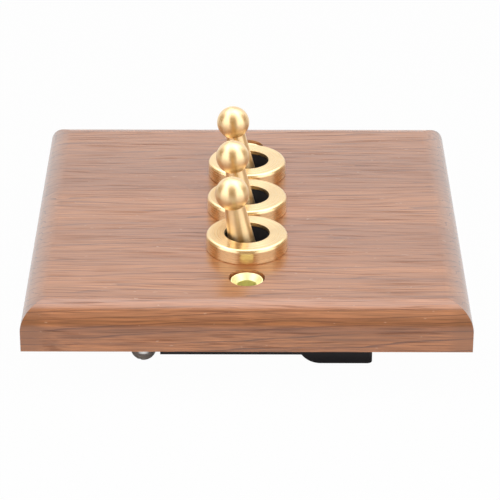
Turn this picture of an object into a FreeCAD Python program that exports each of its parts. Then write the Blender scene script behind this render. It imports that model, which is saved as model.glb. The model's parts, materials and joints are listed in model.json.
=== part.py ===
import FreeCAD, Part
import math
import os
import re
import Sketcher

# Wall light switch with three brass dolly levers on a walnut plate.
# Millimetres. Z = 0 is the back face of the plate and +Z comes out of the wall.
# The levers stand in a column along Y and lean towards -X at rest.

SIZES = (
    # walnut plate and its two wall screws
    ("plate_side", 86.0, "side of the square plate"),
    ("plate_thickness", 9.2, "plate thickness"),
    ("plate_edge_radius", 5.0, "round on the plate's front edges"),
    ("pocket_depth", 3.0, "pocket in the plate's back, and the flange that fills it"),
    ("pocket_clearance", 0.3, "room round the flange in its pocket"),
    ("wall_screw_spacing", 60.3, "distance between the two wall screws"),
    ("cup_radius", 3.15, "outer radius of a screw cup"),
    ("cup_clearance", 0.35, "room round the cup in its well"),
    ("cup_recess", 0.5, "depth of the cup's rim below the plate's front"),
    ("cup_rim", 0.25, "flat rim of the cup"),
    ("cup_seat", 4.6, "height of the shoulder that carries the cup"),
    ("cup_cone", 1.05, "depth of the cup's countersink"),
    ("cup_shank_radius", 2.6, "outer radius of the cup's tail"),
    ("wall_screw_hole_radius", 1.9, "bore for a wall screw"),
    # bezel rings
    ("ring_radius", 8.05, "outer radius of a bezel ring"),
    ("ring_height", 3.15, "height of a bezel ring"),
    ("ring_lip", 0.8, "thickness of the lip at the ring's top"),
    ("ring_hole_radius", 4.5, "hole in the lip"),
    ("ring_edge_radius", 0.75, "round on the ring's top edge"),
    # frame that carries the levers
    ("lever_spacing", 17.0, "distance between levers"),
    ("base_width", 50.0, "width of frame and case along X"),
    ("base_corner_radius", 1.0, "upright corners of frame and case"),
    ("collar_radius", 5.9, "outer radius of the threaded collar"),
    ("collar_bore_radius", 4.5, "bore of the collar"),
    ("collar_clearance", 0.2, "room round the collar in the plate"),
    ("ring_thread_clearance", 0.1, "room between collar and ring"),
    ("collar_top_gap", 0.05, "room between the collar's end and the ring's lip"),
    ("stop_web", 1.0, "thickness of the slotted web that stops the lever"),
    ("stop_clearance", 0.1, "room between leg and stop at the end of travel"),
    ("guide_clearance", 0.2, "room beside the leg in its slot"),
    # lever, measured from its pivot
    ("pivot_height", 4.4, "height of the pivot above the plate's back"),
    ("lean_angle", 10.0, "lean of the lever from upright at rest"),
    ("ball_radius", 3.35, "radius of the lever's ball"),
    ("ball_reach", 16.7, "pivot to the centre of the ball"),
    ("stem_top_radius", 1.78, "taper's radius at the centre of the ball"),
    ("stem_base_radius", 2.9, "taper's radius where it seats"),
    ("stem_seat", 3.2, "pivot to the seat of the stem"),
    ("spigot_radius", 1.8, "tail of the dolly in the actuator"),
    ("spigot_depth", 1.6, "tail of the dolly below the pivot"),
    ("pin_radius", 1.0, "radius of the pivot pin"),
    ("pin_running_clearance", 0.05, "room round the pin in the lever"),
    ("pin_end_gap", 0.1, "pin's end inside the collar's outer wall"),
    ("boss_clearance", 0.3, "room between the actuator's ball and the collar"),
    ("leg_radius", 2.5, "radius of the actuator's leg"),
    ("leg_reach", 7.0, "pivot to the end of the leg"),
    ("spring_seat_reach", 2.2, "pivot to the top of the spring"),
    # plunger and spring
    ("plunger_radius", 1.55, "radius of the plunger and its round tip"),
    ("plunger_clearance", 0.05, "room round the plunger in the leg"),
    ("plunger_reach", 9.0, "pivot to the plunger's tip"),
    ("plunger_top_reach", 3.4, "pivot to the plunger's open end"),
    ("plunger_bore_radius", 1.1, "bore of the plunger"),
    ("plunger_floor", 1.7, "tip to the bottom of the plunger's bore"),
    ("spring_radius", 0.95, "outer radius of the spring"),
    ("spring_wire_radius", 0.17, "radius of the spring's wire"),
    ("spring_turns", 5.0, "turns of the spring"),
    # rocker contact, measured from its trunnion axis
    ("plunger_gap", 0.1, "room between tip and rocker as the lever passes upright"),
    ("rocker_angle", 8.0, "slope of each arm, and tilt of the rocker"),
    ("rocker_half_length", 10.4, "axis to the end of an arm"),
    ("rocker_width", 6.0, "width of the rocker"),
    ("rocker_thickness", 0.8, "thickness of the rocker"),
    ("rocker_apex", 0.3, "underside of the bend above the axis"),
    ("trunnion_radius", 0.8, "radius of the rocker's trunnion"),
    ("trunnion_clearance", 0.05, "room round the trunnion in its cradle"),
    ("tip_inset", 1.4, "a contact tip in from the end of its arm"),
    ("contact_gap", 0.05, "room between closed contact tips"),
    ("tip_radius", 1.3, "radius of a contact tip"),
    ("tip_thickness", 0.6, "thickness of a contact tip"),
    ("rivet_radius", 0.7, "shank of a contact tip"),
    ("rivet_peg", 1.2, "shank of a fixed tip in the case floor"),
    # terminals
    ("strip_thickness", 1.0, "thickness of a terminal strip"),
    ("strip_width", 4.8, "width of a terminal strip"),
    ("strip_end", 1.6, "strip past the centre of its tip"),
    ("strip_tail", 2.4, "strip past the centre of its screw"),
    ("terminal_inset", 6.5, "outer terminal screws in from the side of the case"),
    ("common_screw_reach", 3.4, "axis to the middle terminal screw"),
    ("ear_half_width", 1.8, "half the width of a cradle ear"),
    ("ear_rise", 0.9, "top of an ear above the trunnion axis"),
    ("ear_gap", 0.2, "room between rocker and ear"),
    ("terminal_screw_radius", 1.5, "thread of a terminal screw"),
    ("terminal_screw_end", 0.8, "screw's end past the strip"),
    ("terminal_head_radius", 2.4, "head of a terminal screw"),
    ("terminal_head_height", 2.0, "height of that head"),
    ("terminal_slot_width", 0.7, "driver slot of a terminal screw"),
    ("terminal_slot_depth", 0.9, "depth of that slot"),
    ("washer_radius", 2.55, "clamp washer under a terminal screw"),
    ("washer_thickness", 0.7, "thickness of that washer"),
    # rear case and its two screws
    ("case_depth", 11.05, "depth of the case behind the plate"),
    ("case_wall", 1.5, "outer wall of the case"),
    ("cell_half_width", 6.0, "half the width of a lever's cell"),
    ("bay_clearance", 0.25, "room round a washer in its bay"),
    ("foot_height", 1.95, "height of a foot below the case"),
    ("foot_length", 14.1, "length of a foot along X"),
    ("foot_width", 4.5, "width of a foot along Y"),
    ("foot_shoulder", 3.8, "run of the foot's rounded shoulder"),
    ("case_screw_inset_x", 4.4, "case screw in from the side"),
    ("case_screw_inset_y", 2.6, "case screw in from the front wall"),
    ("case_screw_post", 2.3, "half the block round a case screw"),
    ("case_screw_radius", 1.4, "thread of a case screw"),
    ("case_screw_bite", 4.0, "case screw's length in the walnut"),
    ("case_screw_clearance", 0.15, "room round the screw in case and frame"),
    ("case_head_radius", 2.6, "radius of a case screw's head"),
    ("case_head_dome", 2.4, "height of the head's dome"),
    ("case_head_drop", 0.4, "crown of the head below the feet"),
    ("case_slot_width", 0.8, "driver slot of a case screw"),
    ("case_slot_depth", 1.0, "depth of that slot"),
    ("case_slot_angle", 60.0, "turn of that slot from X"),
    ("ledge_depth", 0.8, "corner ledge that carries the head"),
    ("ledge_width", 7.8, "corner ledge along X"),
    ("ledge_length", 5.5, "corner ledge along Y"),
    ("fit_clearance", 0.02, "room in a fixed fit"),
)

ALIASES = {alias for alias, value, note in SIZES}
GANGS = (1, 2, 3)
COIL_SIDES = 6
COIL_RUNS_PER_TURN = 12
TINY = 1e-6
X_AXIS = FreeCAD.Vector(1, 0, 0)
Y_AXIS = FreeCAD.Vector(0, 1, 0)
Z_AXIS = FreeCAD.Vector(0, 0, 1)

# Lengths that follow from the sizes, as text for expressions.
BASE_LENGTH = "(2 * lever_spacing + 2 * cell_half_width + 2 * case_wall)"
COLLAR_TOP = "(plate_thickness + ring_height - ring_lip - collar_top_gap)"
TERMINAL_X = "(base_width / 2 - terminal_inset)"
CASE_SCREW_X = "(base_width / 2 - case_screw_inset_x)"
CASE_SCREW_Y = f"({BASE_LENGTH} / 2 - case_screw_inset_y)"
ROCKER_TOP = "(rocker_apex + rocker_thickness / cos(rocker_angle))"
ROCKER_AXIS = (
    "(pivot_height - plunger_reach - plunger_gap"
    f" - plunger_radius * (1 / cos(rocker_angle) - 1) - {ROCKER_TOP})"
)
CONTACT_REACH = "(rocker_half_length - tip_inset)"
CLOSED_ARM = f"({ROCKER_AXIS} + rocker_apex * cos(rocker_angle))"
FLOOR = f"({CLOSED_ARM} - contact_gap - 2 * tip_thickness - strip_thickness)"
STRIP_TOP = f"({FLOOR} + strip_thickness)"
LEDGE = "(ledge_depth - case_depth)"
FOOT_BOTTOM = "(-case_depth - foot_height)"
CROWN = f"({FOOT_BOTTOM} - case_head_drop)"
STOP_REACH = (
    "(pivot_height * tan(lean_angle) + leg_radius / cos(lean_angle)"
    " + stop_clearance)"
)

doc = FreeCAD.newDocument("dolly_switch")
sheet = doc.addObject("Spreadsheet::Sheet", "sizes")
for row, (alias, value, note) in enumerate(SIZES, 1):
    sheet.set(f"A{row}", note)
    sheet.set(f"B{row}", str(value))
    sheet.setAlias(f"B{row}", alias)
doc.recompute()

pieces = []


# Helpers that bind document objects to the sheet.

def on_sheet(text):
    """The text with every size name pointing at its cell."""
    return re.sub(r"[a-z]\w*", lambda word: sheet_name(word[0]), text)


def sheet_name(word):
    return f"sizes.{word}" if word in ALIASES else word


def number(text):
    """The value of an expression, for code that needs it as a number."""
    return float(sheet.evalExpression(on_sheet(text)))


def bind(thing, **texts):
    for path, text in texts.items():
        thing.setExpression(path, on_sheet(text))


def place(thing, x="0", y="0", z="0", axis=None, angle="0"):
    """Move a finished object, turned about an axis through its own origin."""
    if axis is not None:
        turn = FreeCAD.Rotation(axis, 1)
        thing.Placement = FreeCAD.Placement(FreeCAD.Vector(), turn)
        thing.setExpression("Placement.Rotation.Angle", on_sheet(angle))
    for letter, text in zip("xyz", (x, y, z)):
        thing.setExpression(f"Placement.Base.{letter}", on_sheet(text))
    return thing


def keep(label, thing):
    """Make an object a sub-part of the switch."""
    thing.Label = label
    pieces.append(thing)
    return thing


# Solids and booleans.

def box(name, x0, x1, y0, y1, z0, z1):
    """A block from one corner to the other."""
    thing = doc.addObject("Part::Box", name)
    bind(thing, Length=f"({x1}) - ({x0})")
    bind(thing, Width=f"({y1}) - ({y0})")
    bind(thing, Height=f"({z1}) - ({z0})")
    return place(thing, x0, y0, z0)


def cylinder(name, radius, x, y, z0, z1):
    """An upright cylinder from z0 to z1."""
    thing = doc.addObject("Part::Cylinder", name)
    bind(thing, Radius=radius, Height=f"({z1}) - ({z0})")
    return place(thing, x, y, z0)


def cross_cylinder(name, radius, length, x="0", y="0", z="0"):
    """A cylinder along Y, centred on the point."""
    thing = doc.addObject("Part::Cylinder", name)
    bind(thing, Radius=radius, Height=length)
    return place(thing, x, f"{y} - ({length}) / 2", z, X_AXIS, "-90")


def sphere(name, radius, x, y, z):
    thing = doc.addObject("Part::Sphere", name)
    bind(thing, Radius=radius)
    return place(thing, x, y, z)


def fuse(name, things):
    thing = doc.addObject("Part::MultiFuse", name)
    thing.Shapes = things
    return thing


def cut(name, base, tools):
    thing = doc.addObject("Part::Cut", name)
    thing.Base = base
    thing.Tool = tools[0] if len(tools) == 1 else group(f"{name}_tools", tools)
    return thing


def common(name, one, other):
    thing = doc.addObject("Part::Common", name)
    thing.Base = one
    thing.Tool = other
    return thing


def group(name, things):
    """Separate solids that share one object."""
    thing = doc.addObject("Part::Compound", name)
    thing.Links = things
    return thing


def half_turn(name, things):
    """The same things at the diagonally opposite corner."""
    return place(group(name, things), axis=Z_AXIS, angle="180")


def rounded(name, base, radius, wanted):
    """Round the edges of a solid for which wanted(edge) is true."""
    doc.recompute()
    size = number(radius)
    thing = doc.addObject("Part::Fillet", name)
    thing.Base = base
    edges = enumerate(base.Shape.Edges, 1)
    thing.Edges = [(index, size, size) for index, edge in edges if wanted(edge)]
    return thing


def is_upright(edge):
    bounds = edge.BoundBox
    return bounds.XLength < TINY and bounds.YLength < TINY


def lies_at(edge, height):
    bounds = edge.BoundBox
    return abs(bounds.ZMin - height) < TINY and abs(bounds.ZMax - height) < TINY


# Bodies with sketches.

def new_body(name):
    return doc.addObject("PartDesign::Body", name)


def new_sketch(body, name, role, offset="0"):
    """An empty sketch on one of the body's own planes, raised by an offset."""
    plane = [item for item in body.Origin.OriginFeatures if item.Role == role][0]
    sketch = body.newObject("Sketcher::SketchObject", name)
    sketch.AttachmentSupport = (plane, [""])
    sketch.MapMode = "FlatFace"
    sketch.setExpression("AttachmentOffset.Base.z", on_sheet(offset))
    return sketch


def fix_point(sketch, curve, point, x, y):
    """Hold a sketch point at bound distances from the sketch's origin."""
    for kind, text, axis in (("DistanceX", x, -2), ("DistanceY", y, -1)):
        length = number(text)
        if abs(length) < TINY:
            sketch.addConstraint(Sketcher.Constraint("PointOnObject", curve, point, axis))
        else:
            rule = Sketcher.Constraint(kind, -1, 1, curve, point, length)
            index = sketch.addConstraint(rule)
            sketch.setExpression(f"Constraints[{index}]", on_sheet(text))


def draw_outline(sketch, points):
    """A closed outline of straight lines through bound points."""
    corners = [FreeCAD.Vector(number(x), number(y)) for x, y in points]
    count = len(corners)
    for index in range(count):
        following = corners[(index + 1) % count]
        sketch.addGeometry(Part.LineSegment(corners[index], following))
    for index in range(count):
        following = (index + 1) % count
        sketch.addConstraint(Sketcher.Constraint("Coincident", index, 2, following, 1))
    for index, (x, y) in enumerate(points):
        fix_point(sketch, index, 1, x, y)


def draw_rectangle(sketch, half_width, half_length):
    """A rectangle centred on the sketch's origin."""
    signs = ((-1, -1), (1, -1), (1, 1), (-1, 1))
    points = [(f"{a} * {half_width}", f"{b} * {half_length}") for a, b in signs]
    draw_outline(sketch, points)


def draw_circles(sketch, radius, centres):
    for x, y in centres:
        centre = FreeCAD.Vector(number(x), number(y))
        curve = sketch.addGeometry(Part.Circle(centre, Z_AXIS, number(radius)))
        rule = Sketcher.Constraint("Radius", curve, number(radius))
        index = sketch.addConstraint(rule)
        sketch.setExpression(f"Constraints[{index}]", on_sheet(radius))
        fix_point(sketch, curve, 3, x, y)


def pad(body, name, sketch, length, symmetric=False):
    feature = body.newObject("PartDesign::Pad", name)
    feature.Profile = sketch
    bind(feature, Length=length)
    feature.Midplane = symmetric
    return feature


def pocket(body, name, sketch, depth=None, upward=False):
    """Cut a sketch into the body, right through where no depth is given."""
    feature = body.newObject("PartDesign::Pocket", name)
    feature.Profile = sketch
    feature.Reversed = upward
    if depth is None:
        feature.Type = "ThroughAll"
    else:
        bind(feature, Length=depth)
    return feature


def fillet(body, name, base, radius, wanted):
    doc.recompute()
    edges = enumerate(base.Shape.Edges, 1)
    feature = body.newObject("PartDesign::Fillet", name)
    feature.Base = (base, [f"Edge{index}" for index, edge in edges if wanted(edge)])
    bind(feature, Radius=radius)
    return feature


def turned(name, outline):
    """A lathe-turned body from its (radius, height) outline."""
    body = new_body(name)
    sketch = new_sketch(body, f"{name}_outline", "XZ_Plane")
    draw_outline(sketch, outline)
    feature = body.newObject("PartDesign::Revolution", f"{name}_turning")
    feature.Profile = sketch
    feature.ReferenceAxis = (sketch, ["V_Axis"])
    feature.Angle = 360
    return body


# Plate, cups and rings.

def gang_y(gang):
    return f"{gang - 2} * lever_spacing"


def walnut_plate():
    """Square plate, rounded in front, with a routed pocket behind."""
    body = new_body("walnut_plate")
    half = "plate_side / 2"
    outline = new_sketch(body, "plate_outline", "XY_Plane")
    draw_rectangle(outline, half, half)
    slab = pad(body, "plate_slab", outline, "plate_thickness")
    top = number("plate_thickness")
    fillet(body, "plate_round", slab, "plate_edge_radius", lambda edge: lies_at(edge, top))
    half_width = "(base_width / 2 + pocket_clearance)"
    half_length = f"({BASE_LENGTH} / 2 + pocket_clearance)"
    recess = new_sketch(body, "pocket_outline", "XY_Plane")
    draw_rectangle(recess, half_width, half_length)
    routed = pocket(body, "plate_pocket", recess, "pocket_depth", upward=True)
    inner = number(half_width)
    fillet(
        body, "pocket_corners", routed, "base_corner_radius + pocket_clearance",
        lambda edge: is_upright(edge) and abs(edge.BoundBox.XMax) < inner + TINY,
    )
    holes = new_sketch(body, "collar_holes", "XY_Plane")
    centres = [("0", gang_y(gang)) for gang in GANGS]
    draw_circles(holes, "collar_radius + collar_clearance", centres)
    pocket(body, "plate_collar_holes", holes, upward=True)
    cups = [("0", f"{sign} * wall_screw_spacing / 2") for sign in (-1, 1)]
    wells = new_sketch(body, "cup_wells", "XY_Plane", "plate_thickness")
    draw_circles(wells, "cup_radius + cup_clearance", cups)
    pocket(body, "plate_cup_wells", wells, "plate_thickness - cup_seat")
    tails = new_sketch(body, "cup_tails", "XY_Plane")
    draw_circles(tails, "cup_shank_radius + fit_clearance", cups)
    pocket(body, "plate_cup_tails", tails, upward=True)
    pilots = new_sketch(body, "pilot_holes", "XY_Plane")
    corners = [(f"{s} * {CASE_SCREW_X}", f"{s} * {CASE_SCREW_Y}") for s in (-1, 1)]
    draw_circles(pilots, "case_screw_radius + fit_clearance", corners)
    pocket(body, "plate_pilots", pilots, "pocket_depth + case_screw_bite", upward=True)
    keep("walnut_plate", body)


def screw_cup(label, side):
    """Brass cup that sinks a wall screw's head below the walnut."""
    rim = "plate_thickness - cup_recess"
    body = turned(label, (
        ("wall_screw_hole_radius", "0"),
        ("cup_shank_radius", "0"),
        ("cup_shank_radius", "cup_seat"),
        ("cup_radius", "cup_seat"),
        ("cup_radius", rim),
        ("cup_radius - cup_rim", rim),
        ("wall_screw_hole_radius", f"{rim} - cup_cone"),
    ))
    keep(label, place(body, y=f"{side} * wall_screw_spacing / 2"))


def bezel_ring(gang):
    """Ring nut that screws on a collar and clamps the plate to the frame."""
    label = f"bezel_ring_{gang}"
    bore = "collar_radius + ring_thread_clearance"
    body = turned(label, (
        (bore, "0"),
        ("ring_radius", "0"),
        ("ring_radius", "ring_height"),
        ("ring_hole_radius", "ring_height"),
        ("ring_hole_radius", "ring_height - ring_lip"),
        (bore, "ring_height - ring_lip"),
    ))
    top = number("ring_height")
    middle = number("ring_radius + ring_hole_radius") / 2
    fillet(
        body, f"{label}_edge", body.Tip, "ring_edge_radius",
        lambda edge: lies_at(edge, top) and edge.BoundBox.XMax > middle,
    )
    keep(label, place(body, y=gang_y(gang), z="plate_thickness"))


# Frame and lever gear.

def switch_frame():
    """Black moulding: flange, three threaded collars and their stop slots."""
    half_width = "base_width / 2"
    half_length = f"{BASE_LENGTH} / 2"
    flange = box(
        "flange_block", f"-{half_width}", half_width, f"-{half_length}", half_length,
        "0", "pocket_depth",
    )
    solids = [rounded("flange", flange, "base_corner_radius", is_upright)]
    holes = []
    slot_half = "(leg_radius + guide_clearance)"
    slot_run = f"({STOP_REACH} - {slot_half})"
    for gang in GANGS:
        y = gang_y(gang)
        solids.append(cylinder(f"collar_{gang}", "collar_radius", "0", y, "0", COLLAR_TOP))
        holes.append(cylinder(
            f"collar_bore_{gang}", "collar_bore_radius", "0", y, "stop_web", COLLAR_TOP))
        holes.append(box(
            f"stop_slot_{gang}", f"-{slot_run}", slot_run, f"{y} - {slot_half}",
            f"{y} + {slot_half}", "0", "stop_web"))
        for side in (-1, 1):
            holes.append(cylinder(
                f"stop_end_{gang}", slot_half, f"{side} * {slot_run}", y, "0", "stop_web"))
        holes.append(cross_cylinder(
            f"pin_hole_{gang}", "pin_radius + fit_clearance", "2 * collar_radius",
            y=y, z="pivot_height"))
    for side in (-1, 1):
        holes.append(cylinder(
            "frame_screw_hole", "case_screw_radius + case_screw_clearance",
            f"{side} * {CASE_SCREW_X}", f"{side} * {CASE_SCREW_Y}", "0", "pocket_depth"))
    keep("switch_frame", cut("frame_cut", fuse("frame_solid", solids), holes))


def on_lever(label, thing, gang):
    """Set a piece built upright on its pivot into the leaning lever."""
    placed = place(
        thing, y=gang_y(gang), z="pivot_height", axis=Y_AXIS, angle="-lean_angle")
    keep(label, placed)


def pivot_hole(name):
    return cross_cylinder(name, "pin_radius + pin_running_clearance", "2 * collar_radius")


def dolly(gang):
    """Turned brass lever: ball, tapered stem and a tail with the pivot hole."""
    name = f"dolly_{gang}"
    stem = turned(f"{name}_stem", (
        ("0", "-spigot_depth"),
        ("spigot_radius", "-spigot_depth"),
        ("spigot_radius", "stem_seat"),
        ("stem_base_radius", "stem_seat"),
        ("stem_top_radius", "ball_reach"),
        ("0", "ball_reach"),
    ))
    ball = sphere(f"{name}_ball", "ball_radius", "0", "0", "ball_reach")
    whole = fuse(f"{name}_whole", [stem, ball])
    on_lever(name, cut(name, whole, [pivot_hole(f"{name}_hole")]), gang)


def actuator(gang):
    """Nylon hub moulded on the dolly's tail, with a hollow leg below."""
    name = f"actuator_{gang}"
    hub_radius = "collar_bore_radius - boss_clearance"
    ball = sphere(f"{name}_ball", hub_radius, "0", "0", "0")
    below_seat = cylinder(
        f"{name}_trim", hub_radius, "0", "0", f"-({hub_radius})", "stem_seat")
    hub = common(f"{name}_hub", ball, below_seat)
    leg = cylinder(f"{name}_leg", "leg_radius", "0", "0", "-leg_reach", "0")
    tail_hole = cylinder(
        f"{name}_tail_hole", "spigot_radius", "0", "0", "-spigot_depth", "stem_seat")
    bore = cylinder(
        f"{name}_bore", "plunger_radius + plunger_clearance", "0", "0",
        "-leg_reach", "-spring_seat_reach")
    whole = fuse(f"{name}_whole", [hub, leg])
    tools = [tail_hole, bore, pivot_hole(f"{name}_hole")]
    on_lever(name, cut(name, whole, tools), gang)


def pivot_pin(gang):
    """Steel pin across the collar, trapped by the hole in the plate."""
    label = f"pivot_pin_{gang}"
    pin = cross_cylinder(
        label, "pin_radius", "2 * (collar_radius - pin_end_gap)",
        y=gang_y(gang), z="pivot_height")
    keep(label, pin)


def plunger(gang):
    """Round-nosed nylon cup that slides in the leg."""
    name = f"plunger_{gang}"
    nose_centre = "plunger_radius - plunger_reach"
    nose = sphere(f"{name}_nose", "plunger_radius", "0", "0", nose_centre)
    sleeve = cylinder(
        f"{name}_sleeve", "plunger_radius", "0", "0", nose_centre, "-plunger_top_reach")
    bore = cylinder(
        f"{name}_bore", "plunger_bore_radius", "0", "0",
        "plunger_floor - plunger_reach", "-plunger_top_reach")
    on_lever(name, cut(name, fuse(f"{name}_whole", [nose, sleeve]), [bore]), gang)


def coil(turns, mean_radius, wire_radius, low, high):
    """Coil of short straight runs of wire, with a small number of flats round the wire."""
    runs = round(turns * COIL_RUNS_PER_TURN)
    step = 2 * math.pi / COIL_RUNS_PER_TURN
    bottom = low + wire_radius
    rise = (high - low - 2 * wire_radius) / runs
    path = [
        FreeCAD.Vector(
            mean_radius * math.cos(run * step),
            mean_radius * math.sin(run * step),
            bottom + run * rise,
        )
        for run in range(runs + 1)
    ]
    along = (path[1] - path[0]).normalize()
    outward = along.cross(Z_AXIS).normalize()
    upward = outward.cross(along)
    flats = [
        path[0]
        + outward * (wire_radius * math.cos(2 * math.pi * side / COIL_SIDES))
        + upward * (wire_radius * math.sin(2 * math.pi * side / COIL_SIDES))
        for side in range(COIL_SIDES)
    ]
    section = Part.makePolygon(flats + flats[:1])
    sharp_corners = 1
    return Part.makePolygon(path).makePipeShell([section], True, False, sharp_corners)


def plunger_spring(gang):
    """Coil that pushes the plunger out of the leg."""
    label = f"plunger_spring_{gang}"
    thing = doc.addObject("Part::Feature", label)
    thing.Shape = coil(
        number("spring_turns"),
        number("spring_radius - spring_wire_radius"),
        number("spring_wire_radius"),
        number("plunger_floor - plunger_reach"),
        number("-spring_seat_reach"),
    )
    on_lever(label, thing, gang)


# Contacts and terminals.

def on_rocker(label, thing, gang):
    """Set a piece built level on the trunnion axis into the tilted rocker."""
    placed = place(thing, y=gang_y(gang), z=ROCKER_AXIS, axis=Y_AXIS, angle="rocker_angle")
    keep(label, placed)


def arm_place(thing, side, reach, depth):
    """Stand a piece on an arm's underside, square to the arm."""
    x = f"{side} * ({reach} * cos(rocker_angle) - ({depth}) * sin(rocker_angle))"
    z = f"rocker_apex + {reach} * sin(rocker_angle) + ({depth}) * cos(rocker_angle)"
    return place(thing, x=x, z=z, axis=Y_AXIS, angle=f"{-side} * rocker_angle")


def arm_cylinder(name, side, radius, low, high):
    """A cylinder through an arm at its contact, from low to high off the underside."""
    thing = doc.addObject("Part::Cylinder", name)
    bind(thing, Radius=radius, Height=f"({high}) - ({low})")
    return arm_place(thing, side, CONTACT_REACH, low)


def rocker_contact(gang):
    """Bent copper see-saw with a trunnion across its middle."""
    name = f"rocker_contact_{gang}"
    body = new_body(f"{name}_strip")
    end_rise = "rocker_half_length * tan(rocker_angle)"
    outline = new_sketch(body, f"{name}_outline", "XZ_Plane")
    draw_outline(outline, (
        ("-rocker_half_length", f"rocker_apex + {end_rise}"),
        ("0", "rocker_apex"),
        ("rocker_half_length", f"rocker_apex + {end_rise}"),
        ("rocker_half_length", f"{ROCKER_TOP} + {end_rise}"),
        ("0", ROCKER_TOP),
        ("-rocker_half_length", f"{ROCKER_TOP} + {end_rise}"),
    ))
    pad(body, f"{name}_pad", outline, "rocker_width", symmetric=True)
    length = "rocker_width + 2 * ear_gap + 2 * strip_thickness"
    trunnion = cross_cylinder(f"{name}_trunnion", "trunnion_radius", length)
    holes = [
        arm_cylinder(
            f"{name}_hole", side, "rivet_radius + fit_clearance",
            "-rocker_thickness", "2 * rocker_thickness")
        for side in (-1, 1)
    ]
    whole = fuse(f"{name}_whole", [body, trunnion])
    on_rocker(name, cut(name, whole, holes), gang)


def rocker_tips(gang):
    """Two silver rivets under the ends of the see-saw."""
    name = f"rocker_tips_{gang}"
    rivets = []
    for side in (-1, 1):
        head = arm_cylinder(f"{name}_head", side, "tip_radius", "-tip_thickness", "0")
        shank = arm_cylinder(
            f"{name}_shank", side, "rivet_radius", "-tip_thickness / 2", "rocker_thickness")
        rivets.append(fuse(f"{name}_rivet", [head, shank]))
    on_rocker(name, group(name, rivets), gang)


def common_terminal(gang):
    """Folded brass cradle: a base, two notched ears and a tongue for the screw."""
    name = f"common_terminal_{gang}"
    y = gang_y(gang)
    inner = "(rocker_width / 2 + ear_gap)"
    outer = f"({inner} + strip_thickness)"
    notch = "(trunnion_radius + trunnion_clearance)"
    ear_top = f"({ROCKER_AXIS} + ear_rise)"
    solids = [
        box(
            f"{name}_base", "-ear_half_width", "ear_half_width",
            f"{y} - {outer}", f"{y} + {outer}", FLOOR, STRIP_TOP),
        box(
            f"{name}_tongue", "0", "common_screw_reach + strip_tail - tip_thickness",
            f"{y} - strip_width / 2", f"{y} + strip_width / 2", FLOOR, STRIP_TOP),
    ]
    holes = [cylinder(
        f"{name}_tapping", "terminal_screw_radius + fit_clearance",
        "common_screw_reach", y, FLOOR, STRIP_TOP)]
    for side in (-1, 1):
        near = f"{y} + {side} * {inner if side > 0 else outer}"
        far = f"{y} + {side} * {outer if side > 0 else inner}"
        solids.append(box(
            f"{name}_ear", "-ear_half_width", "ear_half_width", near, far, FLOOR, ear_top))
        holes.append(box(f"{name}_notch", f"-{notch}", notch, near, far, ROCKER_AXIS, ear_top))
    holes.append(cross_cylinder(f"{name}_seat", notch, f"2 * {outer}", y=y, z=ROCKER_AXIS))
    keep(name, cut(name, fuse(f"{name}_solid", solids), holes))


def side_terminal(label, gang, side):
    """Brass strip from a fixed contact out to its screw."""
    y = gang_y(gang)
    near = f"{CONTACT_REACH} - strip_end"
    far = f"{TERMINAL_X} + strip_tail"
    x0, x1 = (near, far) if side > 0 else (f"-({far})", f"-({near})")
    strip = box(
        f"{label}_strip", x0, x1, f"{y} - strip_width / 2", f"{y} + strip_width / 2",
        FLOOR, STRIP_TOP)
    tapping = cylinder(
        f"{label}_tapping", "terminal_screw_radius + fit_clearance",
        f"{side} * {TERMINAL_X}", y, FLOOR, STRIP_TOP)
    rivet_hole = cylinder(
        f"{label}_rivet_hole", "rivet_radius + fit_clearance",
        f"{side} * {CONTACT_REACH}", y, FLOOR, STRIP_TOP)
    keep(label, cut(label, strip, [tapping, rivet_hole]))


def fixed_tips():
    """Six silver rivets that pin the side strips to the case floor."""
    rivets = []
    for gang in GANGS:
        for side in (-1, 1):
            x = f"{side} * {CONTACT_REACH}"
            head = cylinder(
                "fixed_tip_head", "tip_radius", x, gang_y(gang),
                STRIP_TOP, f"{STRIP_TOP} + tip_thickness")
            shank = cylinder(
                "fixed_tip_shank", "rivet_radius", x, gang_y(gang),
                f"{FLOOR} - rivet_peg", f"{STRIP_TOP} + tip_thickness / 2")
            rivets.append(fuse("fixed_tip", [head, shank]))
    keep("fixed_tips", group("fixed_tips", rivets))


def terminal_places():
    """Centres of the nine terminal screws."""
    columns = (f"-{TERMINAL_X}", "common_screw_reach", TERMINAL_X)
    return [(x, gang_y(gang)) for gang in GANGS for x in columns]


def terminal_screws():
    """Nine slotted brass screws, driven from the back."""
    seat = f"({FLOOR} - washer_thickness)"
    face = f"({seat} - terminal_head_height)"
    screws = []
    for x, y in terminal_places():
        head = cylinder("terminal_head", "terminal_head_radius", x, y, face, seat)
        shank = cylinder(
            "terminal_shank", "terminal_screw_radius", x, y,
            face, f"{STRIP_TOP} + terminal_screw_end")
        slot = box(
            "terminal_slot", f"{x} - terminal_head_radius", f"{x} + terminal_head_radius",
            f"{y} - terminal_slot_width / 2", f"{y} + terminal_slot_width / 2",
            face, f"{face} + terminal_slot_depth")
        screws.append(cut("terminal_screw", fuse("terminal_blank", [head, shank]), [slot]))
    keep("terminal_screws", group("terminal_screws", screws))


def terminal_washers():
    """Nine clamp washers between the screw heads and the strips."""
    washers = []
    low = f"({FLOOR} - washer_thickness)"
    for x, y in terminal_places():
        disc = cylinder("washer_disc", "washer_radius", x, y, low, FLOOR)
        hole = cylinder(
            "washer_hole", "terminal_screw_radius + fit_clearance", x, y, low, FLOOR)
        washers.append(cut("washer", disc, [hole]))
    keep("terminal_washers", group("terminal_washers", washers))


# Rear case and its screws.

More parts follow.
